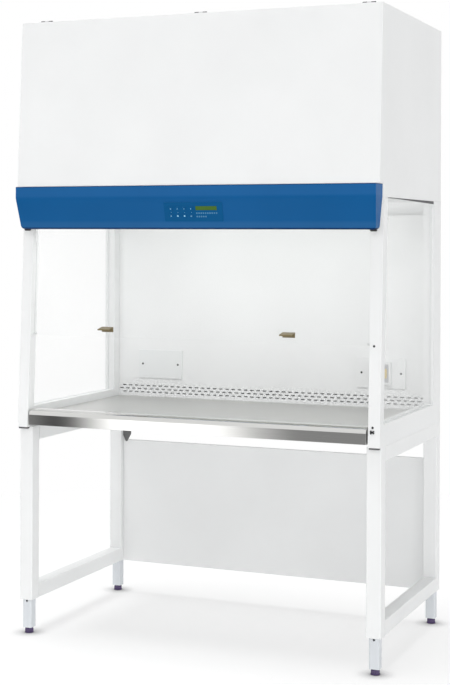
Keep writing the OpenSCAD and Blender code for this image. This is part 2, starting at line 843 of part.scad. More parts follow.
// A hinge leaf on the top, to the back (s = 1) or to the front (s = -1), with knuckles on the thirds ks
module hinge_leaf(x, s, ks) {
    third = hinge_w / 3;
    y0 = knuckle_d / 2 + 1;
    for (k = ks) {
        x0 = x + k * third - third / 2 + seat / 2;
        x1 = x + k * third + third / 2 - seat / 2;
        knuckle(x0, x1);
        block([x0, hinge_y + min(0, s * y0), top_z], [x1, hinge_y + max(0, s * y0), top_z + leaf_t]);
    }
    block([x - hinge_w / 2 + seat / 2, hinge_y + min(s * y0, s * leaf_w), top_z],
          [x + hinge_w / 2 - seat / 2, hinge_y + max(s * y0, s * leaf_w), top_z + leaf_t]);
}

module door_hinge_fixed() {
    placed() color(zinc) for (x = hinge_xs) hinge_leaf(x, 1, [-1, 1]);
}

module door_hinge_moving() {
    placed() color(zinc) for (x = hinge_xs) hinge_leaf(x, -1, [0]);
}

module door_hinge_pins() {
    placed() color(zinc) for (x = hinge_xs)
        translate([x - hinge_w / 2, hinge_y, hinge_z]) rotate([0, 90, 0])
            cylinder(d = hinge_pin_d, h = hinge_w);
}

// Fascia and controls
// Front view of the fascia, smaller by t at its ends and its foot
module fascia_front(t) {
    z0 = fascia_z + t;
    top_half = half_w - fascia_inset - t;
    low_half = top_half - fascia_taper;
    r = fascia_r - t / 2;
    polygon(concat(
        [[-top_half, fascia_front_z + (t > 0 ? cut : 0)], [-top_half, band_z]],
        [for (a = [0:15:90]) [-low_half + r - r * cos(a), z0 + r - r * sin(a)]],
        [for (a = [90:-15:0]) [low_half - r + r * cos(a), z0 + r - r * sin(a)]],
        [[top_half, band_z], [top_half, fascia_front_z + (t > 0 ? cut : 0)]]));
}

// Side view of the fascia, smaller by t at its front, its foot and its top
module fascia_side(t) {
    z0 = fascia_z + t;
    z1 = fascia_front_z - t;
    edge = 2;
    nose = 4;
    skin = t / cos(slope_a);
    rear = t > 0 ? cut : -seat;
    polygon([[fascia_y + t + edge, z1], [fascia_y + t, z1 - edge], [fascia_y + t, band_z],
             [slope_y(z0 + nose) + skin, z0 + nose], [slope_y(z0) + skin + nose, z0],
             [post_y(z0) + rear, z0], [post_y(z1) + rear, z1]]);
}

module fascia() {
    rear = post_y(fascia_front_z);
    placed() color(blue) difference() {
        intersection() {
            along_x(-half_w, half_w) fascia_side(0);
            along_y(fascia_y - cut, rear + cut) fascia_front(0);
        }
        intersection() {
            along_x(-half_w, half_w) fascia_side(fascia_t);
            along_y(fascia_y - cut, rear + 3 * cut) fascia_front(fascia_t);
        }
        // Open underneath, behind the lower flange, for the sash's swing
        block([-frame_in, flange_y, fascia_z - cut], [frame_in, stand_d, fascia_z + fascia_t + cut]);
        for (s = [-1, 1]) translate([s * thumb_x, thumb_y, fascia_z - cut])
            cylinder(d = thumb_shank_d, h = fascia_t + 2 * cut);
        on_slope(0, 0) translate([0, 0, -2 * fascia_t])
            linear_extrude(3 * fascia_t) square([bay_w, bay_h], center = true);
    }
}

module fascia_screws() {
    placed() color(soft_black) for (s = [-1, 1]) translate([s * thumb_x, thumb_y, fascia_z]) {
        translate([0, 0, -thumb_h]) cylinder(d1 = 0.75 * thumb_d, d2 = thumb_d, h = thumb_h / 2);
        translate([0, 0, -thumb_h / 2]) cylinder(d = thumb_d, h = thumb_h / 2);
        cylinder(d = thumb_shank_d - 2 * run_fit, h = 2 * fascia_t);
    }
}

// Puts work on the fascia's slope, from the control panel's middle: X to the right, Y up, Z forward
module on_slope(x, y) {
    translate([control_x, fascia_y, band_z]) rotate([90 + slope_a, 0, 0])
        translate([x, control_mid + y, 0]) children();
}

// Place of key i: two rows of four
function key_at(i) = [keys_x + (i % 4) * key_pitch, (i < 4 ? 0.5 : -0.5) * key_pitch - key_drop];

module control_panel() {
    placed() color(panel_blue) difference() {
        on_slope(0, 0) linear_extrude(control_t) round_rect(control_w, control_h, 3);
        for (i = [0:7])
            on_slope(key_at(i)[0], key_at(i)[1]) translate([0, 0, -cut])
                linear_extrude(control_t + 2 * cut) square(key_w + 2 * seat, center = true);
        on_slope(display_x, display_y) translate([0, 0, -cut])
            linear_extrude(control_t + 2 * cut)
                square([display_w, display_h] + 2 * seat * [1, 1], center = true);
    }
}

module display() {
    placed() color([0.42, 0.45, 0.20]) on_slope(display_x, display_y) translate([0, 0, -board_gap]) {
        linear_extrude(board_gap - seat)
            square([display_w, display_h] + 2 * display_rim * [1, 1], center = true);
        linear_extrude(board_gap + control_t - seat) square([display_w, display_h], center = true);
    }
}

module key(i) {
    low = key_travel + seat - board_gap;
    rim_t = 2;
    placed() color([0.16, 0.36, 0.60]) on_slope(key_at(i)[0], key_at(i)[1]) {
        translate([0, 0, low]) linear_extrude(control_t + key_proud - low) square(key_w, center = true);
        translate([0, 0, -rim_t - seat]) linear_extrude(rim_t) square(key_w + 2 * key_rim, center = true);
    }
}

module control_board() {
    post_d = 4;
    placed() color([0.10, 0.32, 0.18]) on_slope(0, 0) translate([0, 0, -board_gap]) {
        translate([0, 0, -board_t]) linear_extrude(board_t) square([bay_w, board_h], center = true);
        for (x = [-1, 1], y = [-1, 1])
            translate([x * (bay_w / 2 - post_d), y * (board_h / 2 - post_d / 2), 0])
                cylinder(d = post_d, h = board_gap - fascia_t);
    }
}

// Filters and blower
module filter_shelf() {
    low_y = post_y(shelf_z) + lap + seat;
    placed() color(white_paint) difference() {
        block([-half_w + lap, low_y, shelf_z], [half_w - lap, stand_d - lap, shelf_z + shell_t]);
        block([-filter_w / 2 + ledge, filter_y + ledge, shelf_z - cut],
              [filter_w / 2 - ledge, filter_y + filter_d - ledge, shelf_z + shell_t + cut]);
    }
}

module pre_filter() {
    rim = 15;
    pleats = 24;
    media_t = 3;
    step = (filter_w - 2 * rim) / pleats;
    low = prefilter_z + prefilter_h / 5;
    high = prefilter_z + 0.8 * prefilter_h;
    placed() color([0.88, 0.89, 0.86]) {
        difference() {
            block([-filter_w / 2, filter_y, prefilter_z],
                  [filter_w / 2, filter_y + filter_d, prefilter_z + prefilter_h]);
            block([-filter_w / 2 + rim, filter_y + rim, prefilter_z - cut],
                  [filter_w / 2 - rim, filter_y + filter_d - rim, prefilter_z + prefilter_h + cut]);
        }
        along_y(filter_y + rim, filter_y + filter_d - rim) polygon(concat(
            [for (i = [0:2 * pleats])
                [-filter_w / 2 + rim + i * step / 2, i % 2 == 0 ? low : high - media_t]],
            [for (i = [2 * pleats:-1:0])
                [-filter_w / 2 + rim + i * step / 2, i % 2 == 0 ? low + media_t : high]]));
    }
}

module carbon_filter() {
    rim = 18;
    recess = 12;
    placed() color([0.36, 0.37, 0.39]) difference() {
        block([-filter_w / 2, filter_y, carbon_z], [filter_w / 2, filter_y + filter_d, carbon_z + carbon_h]);
        for (z = [carbon_z - cut, carbon_z + carbon_h - recess])
            block([-filter_w / 2 + rim, filter_y + rim, z],
                  [filter_w / 2 - rim, filter_y + filter_d - rim, z + recess + cut]);
    }
}

// A box hung from the head's top, with a bar across its open top that carries the motor
module blower_housing() {
    top = top_z - shell_t;
    bar_margin = 10;
    bar = motor_d / 2 + bar_margin;
    side = blower_w / 2 - shell_t;
    y0 = blower_y - blower_d / 2;
    y1 = blower_y + blower_d / 2;
    placed() color(zinc) difference() {
        block([-blower_w / 2, y0, blower_z], [blower_w / 2, y1, top]);
        block([-side, y0 + shell_t, blower_z + shell_t], [side, y1 - shell_t, top - shell_t]);
        block([-side, y0 + shell_t, top - 2 * shell_t], [-bar, y1 - shell_t, top + cut]);
        block([bar, y0 + shell_t, top - 2 * shell_t], [side, y1 - shell_t, top + cut]);
        translate([0, blower_y, blower_z - cut])
            cylinder(r = impeller_d / 2 - inlet_ring, h = shell_t + 2 * cut);
    }
}

module motor() {
    top = top_z - 2 * shell_t;
    placed() color(soft_black) translate([0, blower_y, 0]) {
        translate([0, 0, motor_z]) cylinder(d = motor_d, h = top - motor_z);
        translate([0, 0, impeller_z + shell_t]) cylinder(d = shaft_d, h = motor_z - impeller_z);
    }
}

// A centrifugal wheel: hub, back plate, front ring and slanted blades
module impeller() {
    plate = 3;
    eye_r = impeller_d / 2 - eye_rim;
    blade = 46;
    blade_t = 2;
    slant = 35;
    hub_wall = 10;
    blade_out = 14;
    blade_back = 0.8 * blade;
    placed() color(steel) translate([0, blower_y, impeller_z]) difference() {
        union() {
            translate([0, 0, impeller_h - plate]) cylinder(d = impeller_d, h = plate);
            difference() {
                cylinder(d = impeller_d, h = plate);
                translate([0, 0, -cut]) cylinder(r = eye_r, h = plate + 2 * cut);
            }
            cylinder(d = shaft_d + 2 * hub_wall, h = impeller_h);
            for (i = [0:blades - 1]) rotate(i * 360 / blades)
                translate([eye_r + blade_out, 0, plate / 2]) rotate(slant)
                    translate([-blade_back, -blade_t / 2, 0]) cube([blade, blade_t, impeller_h - plate]);
        }
        translate([0, 0, -cut]) cylinder(d = shaft_d + 2 * run_fit, h = impeller_h + 2 * cut);
    }
}

module exhaust_grille() {
    flange = 15;
    bar = 24;
    rows = floor((exhaust_d - bar) / (2 * grille_slot));
    placed() color(white_paint) translate([0, blower_y, top_z]) difference() {
        block([-exhaust_w / 2 - flange, -exhaust_d / 2 - flange, 0],
              [exhaust_w / 2 + flange, exhaust_d / 2 + flange, sheet_t]);
        for (x = [-1, 1], i = [0:rows - 1])
            translate([x * exhaust_w / 4, (i - (rows - 1) / 2) * 2 * grille_slot, -cut])
                linear_extrude(sheet_t + 2 * cut) square([exhaust_w / 2 - bar, grille_slot], center = true);
    }
}

// A batten under the shelf, with its tube
module lamp() {
    base_d = 36;
    base_h = 10;
    cap = 10;
    setback = 30;
    lamp_len = 2 * (frame_in - lamp_gap);
    y = post_y(rail_top) + lap + setback;
    placed() color([0.92, 0.94, 0.95]) {
        block([-lamp_len / 2, y - base_d / 2, shelf_z - base_h], [lamp_len / 2, y + base_d / 2, shelf_z]);
        along_x(-lamp_len / 2 + cap, lamp_len / 2 - cap)
            translate([y, shelf_z - base_h - 0.2 * lamp_tube_d]) circle(d = lamp_tube_d);
    }
}

module power_inlet() {
    depth = 22;
    flange = 6;
    flange_t = 3;
    wall = 2;
    placed() color(soft_black) translate([inlet_x, stand_d - shell_t, inlet_z]) difference() {
        union() {
            block([-inlet_w / 2 - flange, -flange_t, -inlet_h / 2 - flange],
                  [inlet_w / 2 + flange, 0, inlet_h / 2 + flange]);
            block([-inlet_w / 2, -depth, -inlet_h / 2], [inlet_w / 2, 0, inlet_h / 2]);
        }
        block([-inlet_w / 2 + wall, -depth + wall, -inlet_h / 2 + wall],
              [inlet_w / 2 - wall, cut, inlet_h / 2 - wall]);
    }
}

stand_side(-1);  // stand_side_left
stand_side(1);  // stand_side_right
stand_rear_rail();
stand_rear_panel();
leg_clamp_screws();
inner_leg(-1, 0);  // leg_front_left
inner_leg(1, 0);  // leg_front_right
inner_leg(-1, 1);  // leg_rear_left
inner_leg(1, 1);  // leg_rear_right
foot(-1, 0);  // foot_front_left
foot(1, 0);  // foot_front_right
foot(-1, 1);  // foot_rear_left
foot(1, 1);  // foot_rear_right
base_pan();
worktop();
side_frame(-1);  // side_frame_left
side_frame(1);  // side_frame_right
side_window(-1);  // side_window_left
side_window(1);  // side_window_right
rear_panel();
baffle();
service_plate(-1);  // service_plate_left
service_plate(1);  // service_plate_right
plate_screws();
outlet_frame();
outlet_insert();
sash();
sash_rail();
sash_pivots();
sash_handles();
sash_stops();
post_plugs();
hose_clip();
hood_shell();
service_door();
door_hinge_fixed();
door_hinge_moving();
door_hinge_pins();
fascia();
fascia_screws();
control_panel();
display();
control_board();
key(0);  // key_1
key(1);  // key_2
key(2);  // key_3
key(3);  // key_4
key(4);  // key_5
key(5);  // key_6
key(6);  // key_7
key(7);  // key_8
filter_shelf();
pre_filter();
carbon_filter();
blower_housing();
impeller();
motor();
exhaust_grille();
lamp();
power_inlet();
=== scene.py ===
"""Looks of a ductless fume hood on its stand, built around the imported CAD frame."""
import json
from math import cos, pi, radians, sin

import bmesh
import bpy
from mathutils import Matrix, Vector


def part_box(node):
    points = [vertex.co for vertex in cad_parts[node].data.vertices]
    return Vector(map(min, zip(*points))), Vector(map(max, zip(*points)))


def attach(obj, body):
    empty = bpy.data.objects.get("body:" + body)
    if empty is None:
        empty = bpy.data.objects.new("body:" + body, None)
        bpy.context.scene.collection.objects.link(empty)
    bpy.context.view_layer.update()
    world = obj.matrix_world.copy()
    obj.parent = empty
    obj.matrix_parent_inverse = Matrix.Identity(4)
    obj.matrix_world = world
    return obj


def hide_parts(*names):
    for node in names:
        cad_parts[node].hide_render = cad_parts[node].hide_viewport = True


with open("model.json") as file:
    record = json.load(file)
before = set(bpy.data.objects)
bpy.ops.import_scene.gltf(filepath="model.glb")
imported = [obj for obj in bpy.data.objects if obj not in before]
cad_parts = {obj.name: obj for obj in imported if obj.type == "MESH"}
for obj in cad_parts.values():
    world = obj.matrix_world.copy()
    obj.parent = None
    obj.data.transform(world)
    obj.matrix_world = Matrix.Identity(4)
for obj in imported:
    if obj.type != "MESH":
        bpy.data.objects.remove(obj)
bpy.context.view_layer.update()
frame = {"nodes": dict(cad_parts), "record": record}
nodes = frame["nodes"]

MM = 0.001
BODY_OF = {}
for body_name, members in frame["record"]["behaviour"]["bodies"].items():
    for member in members:
        BODY_OF[member] = body_name
SLOT_OF = {row["node"]: row["material_slot"] for row in frame["record"]["subparts"]}

# Camera, as fitted to the photograph: metres and degrees
CAMERA_PLACE = (2.04785, -4.93690, 1.41896)
CAMERA_TURN = 22.79
CAMERA_ROLL = 0.2
CAMERA_LENS = 77.62
CAMERA_SENSOR = 36.0
CAMERA_SHIFT_Y = -0.1543
CAMERA_REACH = 100.0

# Light levels
WORLD_LEVEL = 0.25
WORLD_TINT = (0.985, 0.995, 1.0, 1.0)
# Rays that show a surface, rather than light it
SEEN_RAYS = ["Is Camera Ray", "Is Glossy Ray", "Is Transmission Ray"]
# The chamber's lamp: its power in watts, its width, its distance under the tube, and the way it shines
CHAMBER_POWER = 2.0
CHAMBER_WIDTH = 0.10
CHAMBER_DROP = 0.02
CHAMBER_TOWARD = (0.0, 0.35, -1.0)
# Suns: their height in the scene, then for each the way that it shines, its strength and its angle in degrees
SUN_HEIGHT = 3.0
OVERHEAD = ((0.10, 0.03, -1.0), 2.0, 30.0)
KEY_LEFT = ((0.34, 0.74, -0.57), 0.26, 20.0)
KEY_RIGHT = ((-0.34, 0.74, -0.57), 0.24, 20.0)
FRONT_FILL = ((-0.10, 1.0, -0.12), 0.18, 50.0)
FLOOR_FILL = ((0.0, 1.0, 0.45), 0.60, 60.0)
SIDE_FILL = ((-1.0, 0.30, -0.15), 1.12, 50.0)
LEFT_FILL = ((1.0, 0.60, -0.30), 0.30, 40.0)
REAR_FILL = ((0.10, -1.0, 0.0), 0.75, 30.0)
# An even light for the chamber's back alone
CHAMBER_FILL = ((0.0, 0.90, -0.45), 0.34, 40.0)
CHAMBER_BACK = ("baffle", "rear_panel", "service_plate_left", "service_plate_right", "plate_screws")
# The same for the wall behind the slot over the baffle
PLENUM_FILL = ((0.0, 1.0, -0.10), 0.55, 20.0)
# Half the floor's side, its own colour, and its colour and glow in the rays that show it
FLOOR_HALF = 20.0
FLOOR_COLOUR = 0.85
FLOOR_SEEN = 0.36
FLOOR_GLOW = 0.69
# Reach and strength of the contact shadow under the feet
CONTACT_REACH = 0.06
CONTACT_DEPTH = 2.0
# Distances from the object at which the floor starts and ends its fade to the white background
FADE_START = 1.5
FADE_END = 3.0
# The card that the steel lip reflects: its far and near edges, its foot and head, and its level
CARD_Y = -5.8
CARD_NEAR_Y = -1.0
CARD_FLOOR_Z = 0.02
CARD_HEIGHT = 2.0
CARD_LEVEL = 2.0
# Its steps: X at the far edge, and the share of the level there
CARD_STEPS = [(-4.90, 0.39), (-4.70, 0.39), (-3.71, 0.09), (-3.58, 0.02), (-3.42, 0.09), (-3.25, 0.44),
              (-3.00, 1.00), (-2.63, 0.80), (-2.39, 0.92), (-2.15, 0.74), (-1.93, 0.40), (-1.62, 0.158),
              (-0.30, 0.158)]

# Colours, as linear values
WHITE_PAINT = (0.855, 0.862, 0.862)
LEG_PAINT = (0.70, 0.73, 0.76)
BLUE_PAINT = (0.003, 0.096, 0.285)
# The navy is painted shade for the fascia's edge lines; the face and foot blues are painted light on the
# upper face and the foot
NAVY_EDGE_SHADE = (0.003, 0.035, 0.12)
BLUE_FACE_PAINTED_LIGHT = (0.012, 0.112, 0.315)
BLUE_FOOT_PAINTED_LIGHT = (0.014, 0.110, 0.295)
# The fascia's colours by height, from its foot to its top: navy lines of painted shade at both edges, a
# lighter foot and upper face of painted light, and the plain blue slope between them
FASCIA_LIGHT_AND_SHADE_BANDS = [(0.0, NAVY_EDGE_SHADE), (0.030, NAVY_EDGE_SHADE), (0.045, BLUE_FOOT_PAINTED_LIGHT), (0.13, BLUE_FOOT_PAINTED_LIGHT),
                (0.20, BLUE_PAINT), (0.72, BLUE_PAINT), (0.78, BLUE_FACE_PAINTED_LIGHT), (0.980, BLUE_FACE_PAINTED_LIGHT),
                (0.987, NAVY_EDGE_SHADE), (1.0, NAVY_EDGE_SHADE)]
PANEL_FILM = (0.001, 0.088, 0.245)
KEY_FILM = (0.001, 0.092, 0.255)
KEY_MARK = (0.30, 0.62, 0.80)
PRINT_BLUE = (0.075, 0.23, 0.40)
OUTLET_FACE = (0.42, 0.42, 0.43)
GASKET = (0.80, 0.815, 0.815)
STOP_GREY = (0.68, 0.69, 0.69)
STEEL = (0.68, 0.68, 0.665)
ZINC = (0.36, 0.36, 0.38)
FOOT_DARK = (0.075, 0.048, 0.130)
BLACK = (0.012, 0.012, 0.014)
BRONZE = (0.17, 0.13, 0.055)
PANE = (0.93, 0.96, 0.965)
HAZED_PANE = (0.97, 0.98, 0.98)
PLATE_PAINT = (0.83, 0.845, 0.845)
# Dark for painted shade: the strips in the seams under the hood shell and the pads under the posts' overhangs
PAINTED_SHADE_DARK = (0.10, 0.10, 0.103)
# Dark for the tab on the stand's rear panel, which is painted shade
TAB_SHADE_DARK = (0.13, 0.13, 0.13)
HINGE_DARK = (0.075, 0.075, 0.082)
HINGE_LIGHT = (0.70, 0.70, 0.71)
SCREEN_LIGHT = (0.062, 0.150, 0.018)
SCREEN_DARK = (0.052, 0.128, 0.014)
LAMP_DULL = (0.86, 0.88, 0.90)
LAMP_OPAL = (0.92, 0.94, 0.95)
LAMP_GLOW = (0.95, 0.98, 1.0)
BOARD_GREEN = (0.01, 0.085, 0.028)
OUTLET_WHITE = (0.80, 0.81, 0.81)
INSERT_YELLOW = (0.72, 0.55, 0.22)
FILTER_FELT = (0.74, 0.76, 0.72)
CASING_GREY = (0.11, 0.115, 0.125)

# Waves a metre: clouds of colour, patches of gloss, orange peel, brushing along and across, and grain
CLOUD_WAVES = 3.0
GLOSS_WAVES = 60.0
PEEL_WAVES = 900.0
BRUSH_ALONG = 3.0
BRUSH_ACROSS = 1400.0
GRAIN_WAVES = 1600.0
GRAIN_GLOSS_WAVES = 90.0
HAZE_WAVES = 5.0
LAMP_WAVES = 20.0
SCREEN_DOTS = 900.0
# The values of noise between which a colour runs from low to high
RAMP_START = 0.3
RAMP_END = 0.7
# Heights of bumps, in metres
PEEL_HEIGHT = 0.0002
GRAIN_HEIGHT = 0.0001
# Refraction of the panes
GLASS_IOR = 1.5

# Points closer than this are one point
WELD = 0.004 * MM
# Faces within this angle of each other, in degrees, are one flat face
FLAT_ANGLE = 0.5
# An edge is sharp over this angle in degrees, on the CAD's shapes and on small trim
SHARP_ANGLE = 32.0
TRIM_ANGLE = 50.0
# How far in from the edges of a redrawn CAD node its rounding starts, in millimetres
SOFT_EDGES = {
    "hood_shell": 0.8, "service_door": 0.7, "side_frame_left": 0.9, "side_frame_right": 0.9,
    "stand_side_left": 0.8, "stand_side_right": 0.8, "stand_rear_rail": 0.5, "stand_rear_panel": 0.5,
    "fascia": 1.2, "worktop": 0.6, "sash_handles": 0.6, "outlet_frame": 0.8,
}

# The worktop's lip: its depth, and where its polish ends behind that
LIP_DEPTH = 45.0 * MM
POLISH_START = -6.0 * MM
POLISH_END = 12.0 * MM

# The seam under the hood shell: its ends along Y, its closing step, its height and its depth at the rear
SEAMED = ("side_frame_left", "side_frame_right")
SEAM_FRONT = -0.280
SEAM_REAR = 0.296
SEAM_STEP = 0.003
SEAM_Z = 1.550
SEAM_DEPTH = 0.010
# The points that it lowers: this near to its height, and this far in from the outer side
SEAM_NEAR = 2.0 * MM
SEAM_LEDGE = 3.5 * MM
# The dark strip of painted shade in it: its outer face along X, its width, and its height at the front
SEAM_X = 0.6697
SEAM_SHADE_WIDTH = 1.8 * MM
SEAM_START = 0.9 * MM

# Levelling feet: points round them, flutes on the pad, and a thread on the stem
FOOT_RING = 96
FOOT_PAD_HEIGHT = 20.0 * MM
FOOT_STEM_RADIUS = 6.0 * MM
FLUTES = 12
FLUTE_DEPTH = 2.0 * MM
THREAD_PITCH = 1.75 * MM
THREAD_DEPTH = 0.85 * MM
# The pad's outline from the floor up: shares of its radius, of its height and of the flutes' depth
FOOT_PAD = [(0.90, 0.0, 0.0), (1.0, 0.05, 0.0), (1.0, 0.18, 0.0), (0.95, 0.24, 1.0), (0.93, 0.70, 1.0),
            (0.86, 0.88, 0.4), (0.70, 1.0, 0.0)]

# A node's front: its faces point further to -Y than this, and lie in one plane within these
FRONT_LIMIT = -0.8
SAME_WAY = 0.999
SAME_PLANE = 0.05 * MM
# Printed marks: points round each, and the height in millimetres and the share of the width of each loop
MARK_RING = 20
MARK_LOOPS = ((-0.10, 1.0), (0.06, 1.0), (0.09, 0.93))
# A mark is (across, up, half width, half height), in millimetres from the middle of its node's front face
# Marks on the eight keys, upper row first, from the left
KEY_MARKS = [
    (0.0, 0.0, 2.6, 1.3), (0.0, 0.0, 1.7, 1.3), (0.0, 0.0, 2.2, 0.9), (0.0, 0.0, 1.2, 1.9),
    (0.0, 0.0, 1.9, 1.6), (0.0, 0.4, 2.9, 2.6), (0.0, 0.4, 2.9, 2.9), (0.0, 0.0, 3.2, 1.0),
]
# Small dots between the rows of keys
ROW_DOTS = [(across, -1.0, 1.0, 0.7) for across in (-83.0, -58.0, -33.0, -8.0)]
# Level bars under the display, in rows: how far up, and how many bars
BAR_START = 12.0
BAR_PITCH = 8.0
BAR_SIZE = (2.9, 3.0)
BAR_ROWS = ((-3.5, 10), (-15.5, 5))
LEVEL_BARS = [(BAR_START + BAR_PITCH * step, up) + BAR_SIZE
              for up, count in BAR_ROWS for step in range(count)]

# Pane gaskets: how far they stand proud of the pane, and their edges in from the pane's own
GASKET_SWELL = 0.15 * MM
GASKET_OUTER = 4.5 * MM
GASKET_INNER = 10.0 * MM
# A pane's corners are the points this near to its foot or head
CORNER_NEAR = 1.0 * MM
# The outlet's face: its rim, and half its thickness
OUTLET_RIM = 8.0 * MM
OUTLET_PROUD = 0.4 * MM
# The dark pads under the front posts, painted shade where the posts overhang the stand: their thickness, and
# their insets at the sides, the front and the rear
POST_SHADE_PAD = 6.0 * MM
SHADE_PAD_SIDE = 3.0 * MM
SHADE_PAD_FRONT = 2.5 * MM
SHADE_PAD_REAR = 0.3 * MM
# The dark tab of painted shade on the stand's rear panel: its width, rise over the panel, lap, distance and
# thickness
TAB_WIDTH = 34.0 * MM
TAB_RISE = 36.0 * MM
TAB_LAP = 6.0 * MM
TAB_AWAY = 3.0 * MM
TAB_THICK = 2.9 * MM


# Material helpers
def new_material(name):
    """A material with a Principled shader, and its node tree."""
    mat = bpy.data.materials.new(name)
    mat.use_nodes = True
    tree = mat.node_tree
    return mat, tree, tree.nodes["Principled BSDF"]


def add(tree, kind, **settings):
    """A node with its settings and unlinked input values."""
    node = tree.nodes.new(kind)
    for key, value in settings.items():
        if hasattr(node, key):
            setattr(node, key, value)
        else:
            node.inputs[key.replace("_", " ")].default_value = value
    return node


def place(tree, scale):
    """Object coordinates stretched by scale, one value or three."""
    coords = tree.nodes.new("ShaderNodeTexCoord")
    mapping = tree.nodes.new("ShaderNodeMapping")
    if not isinstance(scale, tuple):
        scale = (scale, scale, scale)
    mapping.inputs["Scale"].default_value = scale
    tree.links.new(coords.outputs["Object"], mapping.inputs["Vector"])
    return mapping.outputs["Vector"]


def noise(tree, scale, detail=4.0, rough=0.5):
    """Noise in object space; scale is in waves a metre."""
    node = add(tree, "ShaderNodeTexNoise", Scale=1.0, Detail=detail, Roughness=rough)
    tree.links.new(place(tree, scale), node.inputs["Vector"])
    return node.outputs["Fac"]


def ramp(tree, source, low, high):
    """A colour ramp between two colours."""
    node = tree.nodes.new("ShaderNodeValToRGB")
    node.color_ramp.elements[0].position = RAMP_START
    node.color_ramp.elements[1].position = RAMP_END
    node.color_ramp.elements[0].color = tuple(low) + (1.0,)
    node.color_ramp.elements[1].color = tuple(high) + (1.0,)
    tree.links.new(source, node.inputs["Fac"])
    return node.outputs["Color"]


def spread(tree, source, low, high):
    """Maps a value from 0..1 to low..high."""
    node = tree.nodes.new("ShaderNodeMapRange")
    node.inputs["To Min"].default_value = low
    node.inputs["To Max"].default_value = high
    tree.links.new(source, node.inputs["Value"])
    return node.outputs["Result"]


def blend_value(tree, factor, low, high):
    """Low where the factor is 0, high where it is 1; each is a number or a socket."""
    node = add(tree, "ShaderNodeMix", data_type="FLOAT")
    tree.links.new(factor, node.inputs["Factor"])
    for name, value in (("A", low), ("B", high)):
        if isinstance(value, float):
            node.inputs[name].default_value = value
        else:
            tree.links.new(value, node.inputs[name])
    return node.outputs["Result"]


def along_axis(tree, axis, start, end):
    """0 to 1 along an axis of object space, between two places on it."""
    coords = tree.nodes.new("ShaderNodeTexCoord")
    split = tree.nodes.new("ShaderNodeSeparateXYZ")
    tree.links.new(coords.outputs["Object"], split.inputs["Vector"])
    share = tree.nodes.new("ShaderNodeMapRange")
    share.inputs["From Min"].default_value = start
    share.inputs["From Max"].default_value = end
    tree.links.new(split.outputs[axis], share.inputs["Value"])
    return share.outputs["Result"]


def streaks(tree, along):
    """Fine streaks along one axis: 0, 1 or 2."""
    stretch = tuple(BRUSH_ALONG if axis == along else BRUSH_ACROSS for axis in range(3))
    return noise(tree, stretch, detail=6.0, rough=0.65)


def bump(tree, shader, source, strength, distance):
    """Bump from a height."""
    node = add(tree, "ShaderNodeBump", Strength=strength, Distance=distance)
    tree.links.new(source, node.inputs["Height"])
    tree.links.new(node.outputs["Normal"], shader.inputs["Normal"])


def shade(colour, factor):
    """A colour made lighter or darker."""
    return tuple(min(1.0, c * factor) for c in colour)


# Materials
def coat(name, colour, rough, peel=0.08, vary=0.02, gloss=0.5):
    """Painted or powder-coated metal: faint mottling, orange peel, uneven gloss."""
    mat, tree, shader = new_material(name)
    shader.inputs["Specular IOR Level"].default_value = gloss
    cloud = noise(tree, CLOUD_WAVES, detail=3.0)
    mottle = ramp(tree, cloud, shade(colour, 1 - vary), shade(colour, 1 + vary))
    tree.links.new(mottle, shader.inputs["Base Color"])
    patches = noise(tree, GLOSS_WAVES)
    tree.links.new(spread(tree, patches, rough - 0.05, rough + 0.05), shader.inputs["Roughness"])
    bump(tree, shader, noise(tree, PEEL_WAVES, detail=2.0), peel, PEEL_HEIGHT)
    return mat


def brushed(name, colour, rough, along, strength):
    """Brushed metal: fine streaks along one axis."""
    mat, tree, shader = new_material(name)
    streak = streaks(tree, along)
    tree.links.new(ramp(tree, streak, shade(colour, 0.90), shade(colour, 1.06)), shader.inputs["Base Color"])
    tree.links.new(spread(tree, streak, rough - 0.07, rough + 0.09), shader.inputs["Roughness"])
    shader.inputs["Metallic"].default_value = 1.0
    bump(tree, shader, streak, strength, GRAIN_HEIGHT)
    return mat


def worktop_steel():
    """Brushed stainless along X, with a polished front lip and a matt work surface."""
    mat, tree, shader = new_material("worktop_stainless")
    lip_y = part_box("worktop")[0].y + LIP_DEPTH
    streak = streaks(tree, 0)
    tree.links.new(ramp(tree, streak, shade(STEEL, 0.93), shade(STEEL, 1.05)), shader.inputs["Base Color"])
    shader.inputs["Metallic"].default_value = 1.0
    depth = along_axis(tree, "Y", lip_y + POLISH_START, lip_y + POLISH_END)
    polish = spread(tree, streak, 0.05, 0.09)
    matt = spread(tree, streak, 0.30, 0.42)
    tree.links.new(blend_value(tree, depth, polish, matt), shader.inputs["Roughness"])
    bump(tree, shader, streak, 0.02, GRAIN_HEIGHT)
    return mat


def moulded(name, colour, rough, grain=0.15, waves=GRAIN_WAVES):
    """Moulded plastic or rubber with a fine grain."""
    mat, tree, shader = new_material(name)
    speck = noise(tree, waves, detail=2.0)
    tree.links.new(ramp(tree, speck, shade(colour, 0.92), shade(colour, 1.08)), shader.inputs["Base Color"])
    patches = noise(tree, GRAIN_GLOSS_WAVES)
    tree.links.new(spread(tree, patches, rough - 0.04, rough + 0.06), shader.inputs["Roughness"])
    bump(tree, shader, speck, grain, GRAIN_HEIGHT)
    return mat


def clear(name, colour, rough=0.03, body=0.008, edge=0.20):
    """A clear pane: mostly see-through, with more reflection at a slant."""
    mat, tree, shader = new_material(name)
    haze = noise(tree, HAZE_WAVES, detail=2.0)
    tree.links.new(ramp(tree, haze, shade(colour, 0.98), shade(colour, 1.02)), shader.inputs["Base Color"])
    shader.inputs["Roughness"].default_value = rough
    shader.inputs["IOR"].default_value = GLASS_IOR
    fresnel = add(tree, "ShaderNodeFresnel", IOR=GLASS_IOR)
    tree.links.new(spread(tree, fresnel.outputs["Fac"], body, edge), shader.inputs["Alpha"])
    return mat


